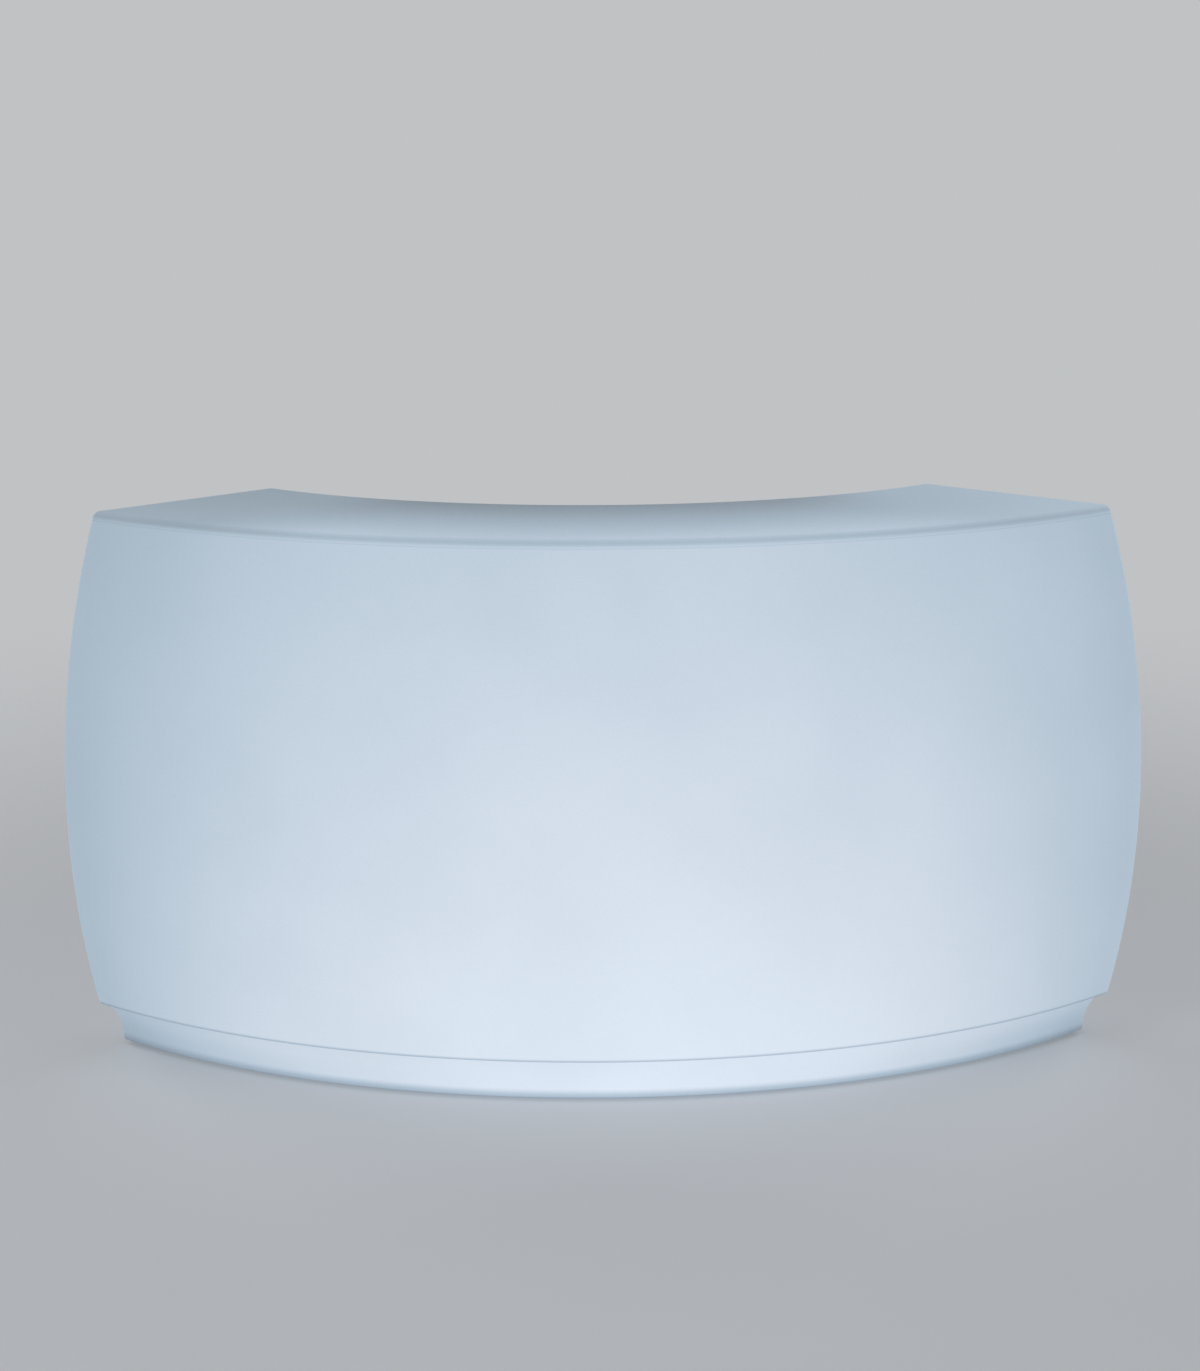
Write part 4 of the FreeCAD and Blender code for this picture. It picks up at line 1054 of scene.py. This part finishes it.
def facing(direction):
    """The turn that takes +Z to a direction."""
    return Vector(direction).to_track_quat("Z", "Y").to_euler()


hatch_places = [(along, height) for height in HATCH_ROWS for along in HATCH_COLUMNS]
hatch_places += [(-HATCH_SIDE, HATCH_MIDDLE), (HATCH_SIDE, HATCH_MIDDLE)]
hatch_marks = []
for along, height in hatch_places:
    angle = along / NICHE_RADIUS
    to_axis = (-math.sin(angle), math.cos(angle), 0.0)
    hatch_marks.append((on_ring(HATCH_SEAT, angle, height), facing(to_axis)))

rail_marks = []
for side in (-1.0, 1.0):
    for height in RAIL_SCREW_HEIGHTS:
        for step in (-RAIL_HALF_SPACING, RAIL_HALF_SPACING):
            place = Vector((side * (NICHE_HALF_WIDTH - RAIL_THICKNESS), RAIL_MIDDLE_Y + step, height))
            rail_marks.append((place, facing((-side, 0.0, 0.0))))

panel_marks = []
for across in (-PANEL_SPAN, PANEL_SPAN):
    for rise in (-PANEL_RISE, PANEL_RISE):
        place = Vector((across, PANEL_FRONT, PANEL_MIDDLE + rise))
        panel_marks.append((place, facing((0.0, 1.0, 0.0))))

stamped("hatch_screws", hatch_screw, hatch_marks, stainless_steel)
stamped("shelf_rail_screws", rail_screw, rail_marks, stainless_steel)
stamped("power_panel_screws", panel_screw, panel_marks, stainless_steel)

# %% [markdown]
# ## Lamp chips
#
# Each of the three lamps has twelve chips in a row: a flat square package with a domed lens. They lie
# inside the closed moulding, where only their light shows, but the part is also looked at piece by
# piece, so they get their form. The rings are square below and round at the lens. A lathed square has
# a corner ahead, so the marks turn it by an eighth to lie along the lamp.

# %% Lamp chips
LAMP_RADIUS = 1.345
LAMP_ANGLES = (math.radians(-27.0), 0.0, math.radians(27.0))
LAMP_LENGTH = 0.500
CHIP_COUNT = 12
CHIP_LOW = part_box("lamp_leds")[0].z
CHIP_HALF = 0.0025
CHIP_SIDES = 16
EIGHTH_TURN = math.pi / 4.0

chip_rings = [
    (CHIP_HALF, 0.0, SQUARE),
    (CHIP_HALF, 0.00066, SQUARE),
    (CHIP_HALF * 0.94, 0.00078, SQUARE),
    (CHIP_HALF * 0.78, 0.00078, ROUND),
    (CHIP_HALF * 0.72, 0.00098, ROUND),
    (CHIP_HALF * 0.48, 0.00113, ROUND),
    (CHIP_HALF * 0.18, 0.00120, ROUND),
]
chip = lathed("chip_model", chip_rings, CHIP_SIDES)
chip_marks = []
for angle in LAMP_ANGLES:
    along_lamp = Vector((math.cos(angle), math.sin(angle), 0.0))
    for count in range(CHIP_COUNT):
        offset = ((count + 0.5) / CHIP_COUNT - 0.5) * LAMP_LENGTH
        place = on_ring(LAMP_RADIUS, angle, CHIP_LOW) + offset * along_lamp
        chip_marks.append((place, (0.0, 0.0, angle + EIGHTH_TURN)))
stamped("lamp_leds", chip, chip_marks, led_chip)

# %% [markdown]
# ## Switch marks
#
# A rocker switch has a bar on the half that is pressed for on and a ring on the half for off. They
# are printed, so here they stand a tenth of a millimetre proud of the dished face and ride on the
# rocker. The points are worked out on the level rocker and then tilted with it.

# %% Switch marks
ROCKER_AXIS = Vector((0.032, PANEL_FRONT - 0.001, PANEL_MIDDLE))
ROCKER_TILT = math.radians(-6.0)
ROCKER_DIP = 0.0029
ROCKER_SLOPE = 0.1
MARK_OFFSET = 0.007
MARK_PROUD = 0.0001
MARK_SIDES = 32


def on_rocker(across, along, lift):
    """A point above the rocker's dished face, on the tilted rocker."""
    level = Vector((across, ROCKER_DIP + ROCKER_SLOPE * abs(along) + lift, along))
    return ROCKER_AXIS + Matrix.Rotation(ROCKER_TILT, 3, "X") @ level


def oval(half_across, half_along, middle):
    """Points of an oval outline on the rocker's face."""
    turns = [2.0 * math.pi * side / MARK_SIDES for side in range(MARK_SIDES)]
    return [(half_across * math.cos(turn), middle + half_along * math.sin(turn)) for turn in turns]


def raised_mark(name, outer, inner):
    """A low mark between two outlines of (across, along) points on the rocker's face."""
    mark = bmesh.new()
    rings = []
    low, high = -MARK_PROUD, MARK_PROUD
    for outline, lift in ((outer, low), (outer, high), (inner, high), (inner, low)):
        rings.append([mark.verts.new(on_rocker(across, along, lift)) for across, along in outline])
    rings.append(rings[0])
    for first, second in zip(rings, rings[1:]):
        for point in range(MARK_SIDES):
            after = (point + 1) % MARK_SIDES
            mark.faces.new((first[point], first[after], second[after], second[point]))
    bmesh.ops.recalc_face_normals(mark, faces=mark.faces)
    mesh = bpy.data.meshes.new(name)
    mark.to_mesh(mesh)
    mark.free()
    mesh.materials.append(white_plastic)
    piece = bpy.data.objects.new(name, mesh)
    scene.collection.objects.link(piece)
    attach(piece, "switch_rocker")
    print(name, "with", len(mesh.polygons), "faces")
    return piece


raised_mark("switch_off_ring", oval(0.0023, 0.0023, MARK_OFFSET), oval(0.0017, 0.0017, MARK_OFFSET))
raised_mark("switch_on_bar", oval(0.0004, 0.0026, -MARK_OFFSET), oval(0.00002, 0.0021, -MARK_OFFSET))
